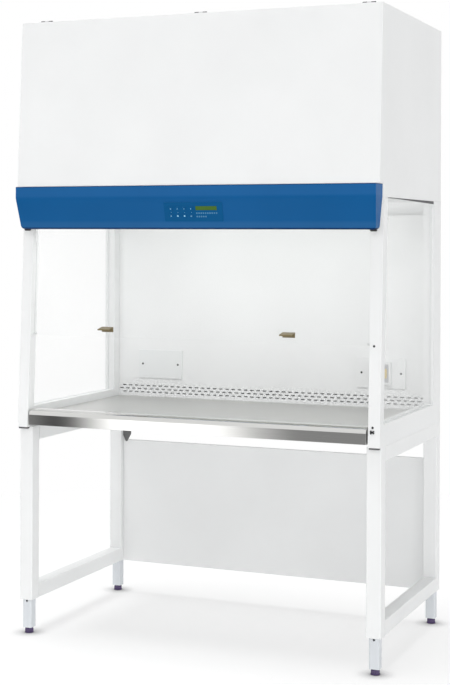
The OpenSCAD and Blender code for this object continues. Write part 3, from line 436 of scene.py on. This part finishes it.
def fascia_paint_with_painted_light():
    """Blue paint with painted light and shade: navy edge lines of painted shade, a lighter upper face and
    foot of painted light, and a plain slope between them.
    """
    low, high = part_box("fascia")
    mat, tree, shader = new_material("fascia_blue_painted_shading")
    bands = tree.nodes.new("ShaderNodeValToRGB")
    marks = bands.color_ramp.elements
    marks.remove(marks[1])
    marks[0].position, colour = FASCIA_LIGHT_AND_SHADE_BANDS[0]
    marks[0].color = colour + (1.0,)
    for spot, colour in FASCIA_LIGHT_AND_SHADE_BANDS[1:]:
        marks.new(spot).color = colour + (1.0,)
    tree.links.new(along_axis(tree, "Z", low.z, high.z), bands.inputs["Fac"])
    tone = add(tree, "ShaderNodeMix", data_type="RGBA", blend_type="MULTIPLY")
    tone.inputs["Factor"].default_value = 1.0
    cloud = ramp(tree, noise(tree, CLOUD_WAVES, detail=3.0), (0.95, 0.95, 0.95), (1.05, 1.05, 1.05))
    tree.links.new(bands.outputs["Color"], tone.inputs["A"])
    tree.links.new(cloud, tone.inputs["B"])
    tree.links.new(tone.outputs["Result"], shader.inputs["Base Color"])
    tree.links.new(spread(tree, noise(tree, GLOSS_WAVES), 0.30, 0.40), shader.inputs["Roughness"])
    shader.inputs["Specular IOR Level"].default_value = 0.08
    bump(tree, shader, noise(tree, PEEL_WAVES, detail=2.0), 0.06, PEEL_HEIGHT)
    return mat


def screen_film():
    """A liquid-crystal window: green ground with a faint dot grid."""
    mat, tree, shader = new_material("screen_green")
    checker = add(tree, "ShaderNodeTexChecker", Scale=1.0)
    checker.inputs["Color1"].default_value = SCREEN_LIGHT + (1.0,)
    checker.inputs["Color2"].default_value = SCREEN_DARK + (1.0,)
    tree.links.new(place(tree, SCREEN_DOTS), checker.inputs["Vector"])
    tree.links.new(checker.outputs["Color"], shader.inputs["Base Color"])
    shader.inputs["Roughness"].default_value = 0.25
    shader.inputs["Specular IOR Level"].default_value = 0.15
    return mat


def lamp_tube():
    """The opal lamp, faintly lit."""
    mat, tree, shader = new_material("lamp_opal")
    cloud = noise(tree, LAMP_WAVES)
    tree.links.new(ramp(tree, cloud, LAMP_DULL, LAMP_OPAL), shader.inputs["Base Color"])
    shader.inputs["Roughness"].default_value = 0.35
    shader.inputs["Emission Color"].default_value = LAMP_GLOW + (1.0,)
    shader.inputs["Emission Strength"].default_value = 1.0
    return mat


MATERIALS = {
    "white_paint": coat("white_powder_coat", WHITE_PAINT, 0.45),
    "leg_paint": coat("pale_leg_coat", LEG_PAINT, 0.38),
    "stainless": brushed("brushed_stainless", STEEL, 0.19, along=0, strength=0.06),
    "zinc": brushed("zinc_plate", ZINC, 0.32, along=2, strength=0.05),
    "foot_plastic": moulded("glossy_dark_foot", FOOT_DARK, 0.16, grain=0.04),
    "black_plastic": moulded("black_plastic", BLACK, 0.42),
    "black_rubber": moulded("black_rubber", BLACK, 0.62),
    "clear_pane": clear("clear_pane", PANE),
    "bronze": coat("olive_bronze", BRONZE, 0.36, peel=0.05, vary=0.06),
    "blue_paint": fascia_paint_with_painted_light(),
    "panel_film": coat("panel_film", PANEL_FILM, 0.34, peel=0.03, vary=0.03, gloss=0.05),
    "key_film": coat("key_film", KEY_FILM, 0.34, peel=0.03, vary=0.03, gloss=0.05),
    "screen": screen_film(),
    "circuit_board": moulded("circuit_board", BOARD_GREEN, 0.40, grain=0.1),
    "outlet_plastic": moulded("outlet_white", OUTLET_WHITE, 0.28, grain=0.03),
    "insert_plastic": moulded("outlet_insert", INSERT_YELLOW, 0.32, grain=0.03),
    "filter_media": moulded("filter_media", FILTER_FELT, 0.85, grain=0.6, waves=700.0),
    "carbon": coat("filter_casing", CASING_GREY, 0.50),
    "lamp_white": lamp_tube(),
}


# Helpers for pieces
def dress(obj, mat):
    """Gives a piece one material."""
    obj.data.materials.clear()
    obj.data.materials.append(mat)


def link(name, data):
    """An object in the scene for a mesh, a lamp or a camera."""
    obj = bpy.data.objects.new(name, data)
    bpy.context.scene.collection.objects.link(obj)
    return obj


def finish_mesh(bm, name):
    """Turns a bmesh into an object, smooth but for its sharp edges."""
    bmesh.ops.recalc_face_normals(bm, faces=bm.faces)
    mesh = bpy.data.meshes.new(name)
    bm.to_mesh(mesh)
    bm.free()
    mesh.shade_smooth()
    mesh.set_sharp_from_angle(angle=radians(SHARP_ANGLE))
    return link(name, mesh)


def stand_for(piece, node):
    """Lets a piece stand for a CAD node, on its body and in its slot."""
    dress(piece, finish_of(node))
    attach(piece, BODY_OF[node])
    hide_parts(node)


def cut_seam(bm):
    """Lowers a side frame's outer top edge towards the rear, for the seam under the hood shell."""
    for spot in (SEAM_FRONT, SEAM_REAR, SEAM_REAR + SEAM_STEP):
        everything = bm.verts[:] + bm.edges[:] + bm.faces[:]
        bmesh.ops.bisect_plane(bm, geom=everything, plane_co=(0.0, spot, 0.0), plane_no=(0.0, 1.0, 0.0))
    outer = max(abs(v.co.x) for v in bm.verts) - SEAM_LEDGE
    for vert in bm.verts:
        on_edge = abs(vert.co.x) > outer and abs(vert.co.z - SEAM_Z) < SEAM_NEAR
        if on_edge and SEAM_FRONT < vert.co.y < SEAM_REAR + SEAM_STEP / 2:
            vert.co.z -= SEAM_DEPTH * (vert.co.y - SEAM_FRONT) / (SEAM_REAR - SEAM_FRONT)


def round_edges(bm, angle, width):
    """Rounds the edges that are sharper than an angle in degrees."""
    sharp = [e for e in bm.edges if len(e.link_faces) == 2 and e.calc_face_angle(0.0) > radians(angle)]
    bmesh.ops.bevel(bm, geom=sharp, offset=width, segments=2, profile=0.5, affect="EDGES", clamp_overlap=True)


def softened(node, width):
    """A copy of a CAD node with rounded edges, which stands for it."""
    bm = bmesh.new()
    bm.from_mesh(nodes[node].data)
    bmesh.ops.remove_doubles(bm, verts=bm.verts, dist=WELD)
    bmesh.ops.dissolve_limit(bm, angle_limit=radians(FLAT_ANGLE), verts=bm.verts, edges=bm.edges)
    if node in SEAMED:
        cut_seam(bm)
    round_edges(bm, SHARP_ANGLE, width)
    bmesh.ops.triangulate(bm, faces=[f for f in bm.faces if len(f.verts) > 4])
    piece = finish_mesh(bm, node + "_soft")
    flat = piece.modifiers.new("flat_faces", "WEIGHTED_NORMAL")
    flat.mode = "FACE_AREA"
    flat.weight = 100
    flat.keep_sharp = True
    stand_for(piece, node)


# Nodes with a finish of their own within their slot
OWN_FINISH = {
    "worktop": worktop_steel(),
    "door_hinge_fixed": brushed("dark_hinge_leaf", HINGE_DARK, 0.38, along=0, strength=0.05),
    "door_hinge_moving": brushed("light_hinge_leaf", HINGE_LIGHT, 0.34, along=0, strength=0.05),
    "service_plate_left": coat("service_plate_coat", PLATE_PAINT, 0.42),
    "sash_stops": moulded("pale_stop", STOP_GREY, 0.55),
    "side_window_left": clear("hazed_pane_left", HAZED_PANE, rough=0.05, body=0.012, edge=0.16),
    "side_window_right": clear("hazed_pane_right", HAZED_PANE, rough=0.05, body=0.03, edge=0.20),
}


def finish_of(node):
    """The material of a CAD node."""
    return OWN_FINISH.get(node, MATERIALS[SLOT_OF[node]])


for node_name, obj in nodes.items():
    dress(obj, finish_of(node_name))

for node_name, width in SOFT_EDGES.items():
    softened(node_name, width * MM)


# Levelling feet
def foot_profile(pad, top):
    """Rows from the floor up: radius, height and how deep the flutes are there."""
    rows = [(0.0, 0.0, 0.0)]
    rows += [(across * pad, up * FOOT_PAD_HEIGHT, flute) for across, up, flute in FOOT_PAD]
    rows.append((FOOT_STEM_RADIUS, FOOT_PAD_HEIGHT, 0.0))
    root = FOOT_STEM_RADIUS - THREAD_DEPTH
    z = FOOT_PAD_HEIGHT
    while z + THREAD_PITCH < top:
        rows.append((root, z + 0.25 * THREAD_PITCH, 0.0))
        rows.append((FOOT_STEM_RADIUS, z + 0.75 * THREAD_PITCH, 0.0))
        z += THREAD_PITCH
    rows += [(root, top, 0.0), (0.0, top, 0.0)]
    return rows


def levelling_foot(node):
    """A foot of moulded plastic, fluted for the fingers, with its threaded stem."""
    low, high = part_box(node)
    middle = (low + high) / 2
    pad = (high.x - low.x) / 2
    rows = foot_profile(pad, high.z - low.z)
    bm = bmesh.new()
    loops = []
    for radius, height, flute in rows:
        if radius == 0.0:
            loops.append([bm.verts.new((middle.x, middle.y, low.z + height))])
            continue
        loop = []
        for step in range(FOOT_RING):
            turn = 2 * pi * step / FOOT_RING
            reach = radius - flute * FLUTE_DEPTH * (0.5 - 0.5 * cos(FLUTES * turn))
            spot = (middle.x + reach * cos(turn), middle.y + reach * sin(turn), low.z + height)
            loop.append(bm.verts.new(spot))
        loops.append(loop)
    for lower, upper in zip(loops, loops[1:]):
        for step in range(FOOT_RING):
            after = (step + 1) % FOOT_RING
            corners = [lower[step % len(lower)], lower[after % len(lower)],
                       upper[after % len(upper)], upper[step % len(upper)]]
            bm.faces.new(list(dict.fromkeys(corners)))
    stand_for(finish_mesh(bm, node + "_fluted"), node)


for node_name in [name for name in nodes if name.startswith("foot_")]:
    levelling_foot(node_name)


# Printed marks on the control panel
def front_face(node):
    """The middle and the normal of a node's largest flat face towards -Y."""
    mesh = nodes[node].data
    faces = [f for f in mesh.polygons if f.normal.y < FRONT_LIMIT]
    largest = max(faces, key=lambda f: f.area)
    plane = [f for f in faces if f.normal.dot(largest.normal) > SAME_WAY
             and abs((f.center - largest.center).dot(largest.normal)) < SAME_PLANE]
    total = sum(f.area for f in plane)
    middle = sum((f.center * f.area for f in plane), Vector()) / total
    return middle, largest.normal.copy()


def printed(name, node, marks, mat):
    """Thin raised marks on a node's front face."""
    middle, out = front_face(node)
    across = Vector((1.0, 0.0, 0.0))
    up = out.cross(across).normalized()
    if up.z < 0:
        up = -up
    bm = bmesh.new()
    for right, rise, half_w, half_h in marks:
        centre = middle + across * (right * MM) + up * (rise * MM)
        loops = []
        for lift, grow in MARK_LOOPS:
            loop = []
            for step in range(MARK_RING):
                turn = 2 * pi * step / MARK_RING
                side = across * (cos(turn) * half_w * grow * MM)
                rise_by = up * (sin(turn) * half_h * grow * MM)
                loop.append(bm.verts.new(centre + side + rise_by + out * (lift * MM)))
            loops.append(loop)
        for lower, upper in zip(loops, loops[1:]):
            for step in range(MARK_RING):
                after = (step + 1) % MARK_RING
                bm.faces.new((lower[step], lower[after], upper[after], upper[step]))
        bm.faces.new(loops[0])
        bm.faces.new(loops[-1])
    piece = finish_mesh(bm, name)
    dress(piece, mat)
    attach(piece, BODY_OF[node])


key_ink = coat("key_ink", KEY_MARK, 0.45, peel=0.02, vary=0.04, gloss=0.1)
print_ink = coat("print_ink", PRINT_BLUE, 0.45, peel=0.02, vary=0.04, gloss=0.1)
for number, mark in enumerate(KEY_MARKS, 1):
    printed("key_mark_%d" % number, "key_%d" % number, [mark], key_ink)
printed("panel_dots", "control_panel", ROW_DOTS, key_ink)
printed("panel_bars", "control_panel", LEVEL_BARS, print_ink)


# Trim that follows the photograph: pane gaskets, a strip of painted shade in the shell seam, outlet face,
# pads of painted shade under the posts, and a tab of painted shade on the stand's rear panel
def inset(corners, depth):
    """A convex outline in the YZ plane, moved inwards by depth."""
    middle = sum((Vector(c) for c in corners), Vector((0.0, 0.0))) / len(corners)
    lines = []
    for start, end in zip(corners, corners[1:] + corners[:1]):
        along = (Vector(end) - Vector(start)).normalized()
        inward = Vector((-along.y, along.x))
        if inward.dot(middle - Vector(start)) < 0:
            inward = -inward
        lines.append((Vector(start) + inward * depth, along))
    moved = []
    for (point_a, along_a), (point_b, along_b) in zip(lines[-1:] + lines[:-1], lines):
        cross = along_a.x * along_b.y - along_a.y * along_b.x
        gap = point_b - point_a
        moved.append(point_a + along_a * ((gap.x * along_b.y - gap.y * along_b.x) / cross))
    return moved


def trim(name, bm, mat, node, edge=0.3 * MM):
    """Finishes a small added piece with rounded edges, in the given material, on a node's body."""
    round_edges(bm, TRIM_ANGLE, edge)
    piece = finish_mesh(bm, name)
    dress(piece, mat)
    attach(piece, BODY_OF[node])


def solid(bm, outline, lift):
    """A solid from an outline of points and the way that it is pushed out."""
    near = [bm.verts.new(Vector(p)) for p in outline]
    far = [bm.verts.new(Vector(p) + Vector(lift)) for p in outline]
    bm.faces.new(near)
    bm.faces.new(far[::-1])
    for step in range(len(outline)):
        after = (step + 1) % len(outline)
        bm.faces.new((near[step], near[after], far[after], far[step]))


def ring(bm, outer, inner, lift):
    """A flat frame between two outlines of as many points, pushed out."""
    loops = []
    for outline, shift in ((outer, 0.0), (outer, 1.0), (inner, 1.0), (inner, 0.0)):
        loops.append([bm.verts.new(Vector(p) + Vector(lift) * shift) for p in outline])
    for one, two in zip(loops, loops[1:] + loops[:1]):
        for step in range(len(outer)):
            after = (step + 1) % len(outer)
            bm.faces.new((one[step], one[after], two[after], two[step]))


def pane_gasket(side):
    """A pale gasket where the pane enters its groove."""
    node = "side_window_" + side
    low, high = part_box(node)
    spots = {(round(v.co.y, 5), round(v.co.z, 5)) for v in nodes[node].data.vertices}
    foot = sorted(s for s in spots if s[1] < low.z + CORNER_NEAR)
    head = sorted(s for s in spots if s[1] > high.z - CORNER_NEAR)
    corners = [foot[0], head[0], head[-1], foot[-1]]
    outer = [(low.x - GASKET_SWELL, p.x, p.y) for p in inset(corners, GASKET_OUTER)]
    inner = [(low.x - GASKET_SWELL, p.x, p.y) for p in inset(corners, GASKET_INNER)]
    bm = bmesh.new()
    ring(bm, outer, inner, (high.x - low.x + 2 * GASKET_SWELL, 0.0, 0.0))
    trim("pane_gasket_" + side, bm, gasket_rubber, "side_frame_" + side)


def shell_seam_shade(side):
    """A dark strip in the seam under the hood shell: painted shade for the shadow in the gap."""
    outer = SEAM_X if side == "right" else -SEAM_X
    outline = [(outer, SEAM_FRONT, SEAM_Z), (outer, SEAM_FRONT, SEAM_Z - SEAM_START),
               (outer, SEAM_REAR, SEAM_Z - SEAM_DEPTH), (outer, SEAM_REAR, SEAM_Z)]
    bm = bmesh.new()
    solid(bm, outline, (-SEAM_SHADE_WIDTH if side == "right" else SEAM_SHADE_WIDTH, 0.0, 0.0))
    trim("shell_seam_shade_" + side, bm, painted_shade_fill, "side_frame_" + side, edge=0.1 * MM)


def rectangle(left, right, foot, head, y):
    """The corners of an upright rectangle that faces -Y."""
    return [(left, y, foot), (right, y, foot), (right, y, head), (left, y, head)]


def outlet_face():
    """The outlet's grey face around its insert."""
    low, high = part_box("outlet_frame")
    hole_low, hole_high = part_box("outlet_insert")
    front = low.y - OUTLET_PROUD
    outer = rectangle(low.x + OUTLET_RIM, high.x - OUTLET_RIM, low.z + OUTLET_RIM, high.z - OUTLET_RIM, front)
    inner = rectangle(hole_low.x, hole_high.x, hole_low.z, hole_high.z, front)
    bm = bmesh.new()
    ring(bm, outer, inner, (0.0, 2 * OUTLET_PROUD, 0.0))
    grey = moulded("outlet_grey", OUTLET_FACE, 0.35, grain=0.05)
    trim("outlet_face", bm, grey, "outlet_frame", edge=0.2 * MM)


def post_shade_pad(side):
    """A dark pad under the overhanging foot of a front post: painted shade under the overhang."""
    low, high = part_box("side_frame_" + side)
    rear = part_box("stand_side_" + side)[0].y - SHADE_PAD_REAR
    front = low.y + SHADE_PAD_FRONT
    left = low.x + SHADE_PAD_SIDE
    right = high.x - SHADE_PAD_SIDE
    bm = bmesh.new()
    outline = [(left, front, low.z), (right, front, low.z), (right, rear, low.z), (left, rear, low.z)]
    solid(bm, outline, (0.0, 0.0, -POST_SHADE_PAD))
    trim("post_shade_pad_" + side, bm, painted_shade_fill, "side_frame_" + side, edge=0.8 * MM)


def panel_shade_tab():
    """A dark tab over the top left corner of the stand's rear panel: painted shade for the dark gap there."""
    panel_low, panel_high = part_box("stand_rear_panel")
    left = panel_low.x
    right = left + TAB_WIDTH
    front = panel_low.y - TAB_AWAY
    top = panel_high.z + TAB_RISE
    foot = panel_high.z - TAB_LAP
    outline = [(left, front, top), (right, front, top), (right, front, top - TAB_RISE / 3),
               (left + TAB_WIDTH / 2, front, foot), (left + TAB_WIDTH / 3, front, foot),
               (left, front, top - TAB_RISE / 2)]
    bm = bmesh.new()
    solid(bm, outline, (0.0, TAB_THICK, 0.0))
    trim("panel_shade_tab", bm, tab_painted_shade, "stand_rear_panel", edge=0.5 * MM)


gasket_rubber = moulded("pale_gasket", GASKET, 0.55)
# Dark colour for painted shade, in the seams under the hood shell and under the posts' overhangs
painted_shade_fill = moulded("painted_shade_dark", PAINTED_SHADE_DARK, 0.65)
# The tab's dark is painted shade for a gap
tab_painted_shade = coat("painted_shade_tab", TAB_SHADE_DARK, 0.45)
for side in ("left", "right"):
    pane_gasket(side)
    shell_seam_shade(side)
    post_shade_pad(side)
outlet_face()
panel_shade_tab()


# Stage: floor, world, lamps and camera
def ray_share(tree, names):
    """1 for the named kinds of ray, else 0."""
    path = tree.nodes.new("ShaderNodeLightPath")
    total = path.outputs[names[0]]
    for name in names[1:]:
        larger = add(tree, "ShaderNodeMath", operation="MAXIMUM")
        tree.links.new(total, larger.inputs[0])
        tree.links.new(path.outputs[name], larger.inputs[1])
        total = larger.outputs["Value"]
    return total


def build_world():
    """White where it is seen, and a dimmer light on the object."""
    world = bpy.data.worlds.new("studio")
    bpy.context.scene.world = world
    world.use_nodes = True
    tree = world.node_tree
    tree.nodes.clear()
    seen = add(tree, "ShaderNodeBackground", Color=(1.0, 1.0, 1.0, 1.0), Strength=1.0)
    light = add(tree, "ShaderNodeBackground", Color=WORLD_TINT, Strength=WORLD_LEVEL)
    mix = tree.nodes.new("ShaderNodeMixShader")
    out = tree.nodes.new("ShaderNodeOutputWorld")
    tree.links.new(ray_share(tree, SEEN_RAYS), mix.inputs["Fac"])
    tree.links.new(light.outputs["Background"], mix.inputs[1])
    tree.links.new(seen.outputs["Background"], mix.inputs[2])
    tree.links.new(mix.outputs["Shader"], out.inputs["Surface"])


def build_floor():
    """A pale floor that keeps the shadow near the object and runs out into the white background."""
    bm = bmesh.new()
    bmesh.ops.create_grid(bm, x_segments=8, y_segments=8, size=FLOOR_HALF)
    floor = finish_mesh(bm, "floor")
    mat, tree, shader = new_material("floor_white")
    seen = ray_share(tree, SEEN_RAYS)
    reach = add(tree, "ShaderNodeVectorMath", operation="LENGTH")
    tree.links.new(place(tree, 1.0), reach.inputs[0])
    far = add(tree, "ShaderNodeMapRange", interpolation_type="SMOOTHSTEP")
    far.inputs["From Min"].default_value = FADE_START
    far.inputs["From Max"].default_value = FADE_END
    tree.links.new(reach.outputs["Value"], far.inputs["Value"])
    fade = far.outputs["Result"]
    colour = blend_value(tree, seen, FLOOR_COLOUR, blend_value(tree, fade, FLOOR_SEEN, 0.0))
    contact = add(tree, "ShaderNodeAmbientOcclusion", Distance=CONTACT_REACH)
    deeper = add(tree, "ShaderNodeMath", operation="POWER")
    deeper.inputs[1].default_value = CONTACT_DEPTH
    tree.links.new(contact.outputs["AO"], deeper.inputs[0])
    near_glow = add(tree, "ShaderNodeMath", operation="MULTIPLY")
    near_glow.inputs[1].default_value = FLOOR_GLOW
    tree.links.new(deeper.outputs["Value"], near_glow.inputs[0])
    glow = blend_value(tree, seen, 0.0, blend_value(tree, fade, near_glow.outputs["Value"], 1.0))
    tree.links.new(colour, shader.inputs["Base Color"])
    tree.links.new(glow, shader.inputs["Emission Strength"])
    shader.inputs["Emission Color"].default_value = (1.0, 1.0, 1.0, 1.0)
    shader.inputs["Roughness"].default_value = 0.9
    shader.inputs["Specular IOR Level"].default_value = 0.0
    dress(floor, mat)
    return floor


def soft_sun(name, toward, strength, spread_angle):
    """An even soft light over the whole object, shining toward the given direction."""
    data = bpy.data.lights.new(name, "SUN")
    data.energy = strength
    data.angle = radians(spread_angle)
    lamp = link(name, data)
    lamp.rotation_euler = Vector(toward).to_track_quat("-Z", "Y").to_euler()
    lamp.location = (0.0, 0.0, SUN_HEIGHT)
    lamp.visible_glossy = False
    return lamp


def chamber_lamp():
    """The light of the hood's own lamp, under the filter shelf."""
    low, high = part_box("lamp")
    data = bpy.data.lights.new("chamber", "AREA")
    data.shape = "RECTANGLE"
    data.size = high.x - low.x
    data.size_y = CHAMBER_WIDTH
    data.energy = CHAMBER_POWER
    lamp = link("chamber", data)
    lamp.location = (0.0, (low.y + high.y) / 2, low.z - CHAMBER_DROP)
    lamp.rotation_euler = Vector(CHAMBER_TOWARD).to_track_quat("-Z", "Y").to_euler()
    lamp.visible_camera = False
    lamp.visible_glossy = False


def light_group(name, objects, state):
    """A set of objects that a lamp lights alone, or leaves out."""
    group = bpy.data.collections.new(name)
    for obj in objects:
        group.objects.link(obj)
    for row in group.collection_objects:
        row.light_linking.link_state = state
    return group


def build_lamps(floor):
    """Only the overhead light casts a shadow on the floor; the others light the object alone."""
    soft_sun("overhead", *OVERHEAD)
    all_but_floor = light_group("all_but_floor", [floor], "EXCLUDE")
    for name, settings in (("key_left", KEY_LEFT), ("key_right", KEY_RIGHT), ("front_fill", FRONT_FILL),
                           ("side_fill", SIDE_FILL), ("left_fill", LEFT_FILL), ("rear_fill", REAR_FILL)):
        linking = soft_sun(name, *settings).light_linking
        linking.receiver_collection = all_but_floor
        linking.blocker_collection = all_but_floor
    # The light from the floor, direct or bounced, passes the fascia, so that the door above it stays even
    fascia = bpy.data.objects["fascia_soft"]
    fascia.visible_diffuse = False
    linking = soft_sun("floor_fill", *FLOOR_FILL).light_linking
    linking.receiver_collection = all_but_floor
    linking.blocker_collection = light_group("past_fascia", [floor, fascia], "EXCLUDE")
    back = [nodes[name] for name in CHAMBER_BACK]
    back += [bpy.data.objects["outlet_frame_soft"], bpy.data.objects["outlet_face"]]
    linking = soft_sun("chamber_fill", *CHAMBER_FILL).light_linking
    linking.receiver_collection = light_group("chamber_back", back, "INCLUDE")
    linking.blocker_collection = light_group("chamber_blockers", back, "INCLUDE")
    # The wall behind the slot over the baffle gets its own
    plenum = soft_sun("plenum_fill", *PLENUM_FILL).light_linking
    plenum.receiver_collection = light_group("plenum_wall", [nodes["rear_panel"]], "INCLUDE")
    plenum.blocker_collection = light_group("plenum_screen", [nodes["baffle"]], "INCLUDE")
    chamber_lamp()


def build_card():
    """A folded card that only reflections show: it gives the steel lip its run of tones.

    The tones of both parts run in rays from the camera's mirror image in the lip."""
    mirror_x = CAMERA_PLACE[0]
    mirror_y = 2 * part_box("worktop")[0].y - CAMERA_PLACE[1]
    bm = bmesh.new()
    tone = bm.verts.layers.float_color.new("lip_tone")
    columns = []
    for x_far, share in CARD_STEPS:
        lean = (x_far - mirror_x) / (mirror_y - CARD_Y)
        x_near = mirror_x + lean * (mirror_y - CARD_NEAR_Y)
        spots = [(x_near, CARD_NEAR_Y, CARD_FLOOR_Z), (x_far, CARD_Y, CARD_FLOOR_Z),
                 (x_far, CARD_Y, CARD_HEIGHT)]
        column = [bm.verts.new(spot) for spot in spots]
        for vert in column:
            vert[tone] = (share, share, share, 1.0)
        columns.append(column)
    for left, right in zip(columns, columns[1:]):
        for row in range(2):
            bm.faces.new((left[row], right[row], right[row + 1], left[row + 1]))
    card = finish_mesh(bm, "lip_card")
    mat, tree, shader = new_material("card_tones")
    tones = add(tree, "ShaderNodeVertexColor", layer_name="lip_tone")
    shader.inputs["Base Color"].default_value = (0.0, 0.0, 0.0, 1.0)
    shader.inputs["Specular IOR Level"].default_value = 0.0
    tree.links.new(tones.outputs["Color"], shader.inputs["Emission Color"])
    shader.inputs["Emission Strength"].default_value = CARD_LEVEL
    dress(card, mat)
    card.visible_camera = False
    card.visible_diffuse = False
    card.visible_shadow = False
    card.visible_transmission = False


def build_camera():
    """The camera at the photograph's place and angle."""
    data = bpy.data.cameras.new("camera")
    data.sensor_fit = "VERTICAL"
    data.sensor_height = CAMERA_SENSOR
    data.lens = CAMERA_LENS
    data.shift_y = CAMERA_SHIFT_Y
    data.clip_end = CAMERA_REACH
    camera = link("camera", data)
    turn = Matrix.Rotation(radians(CAMERA_TURN), 4, "Z")
    lift = Matrix.Rotation(pi / 2, 4, "X")
    roll = Matrix.Rotation(radians(CAMERA_ROLL), 4, "Z")
    camera.matrix_world = Matrix.Translation(CAMERA_PLACE) @ turn @ lift @ roll
    bpy.context.scene.camera = camera


build_world()
build_lamps(build_floor())
build_card()
build_camera()
bpy.context.scene.view_settings.view_transform = "Standard"
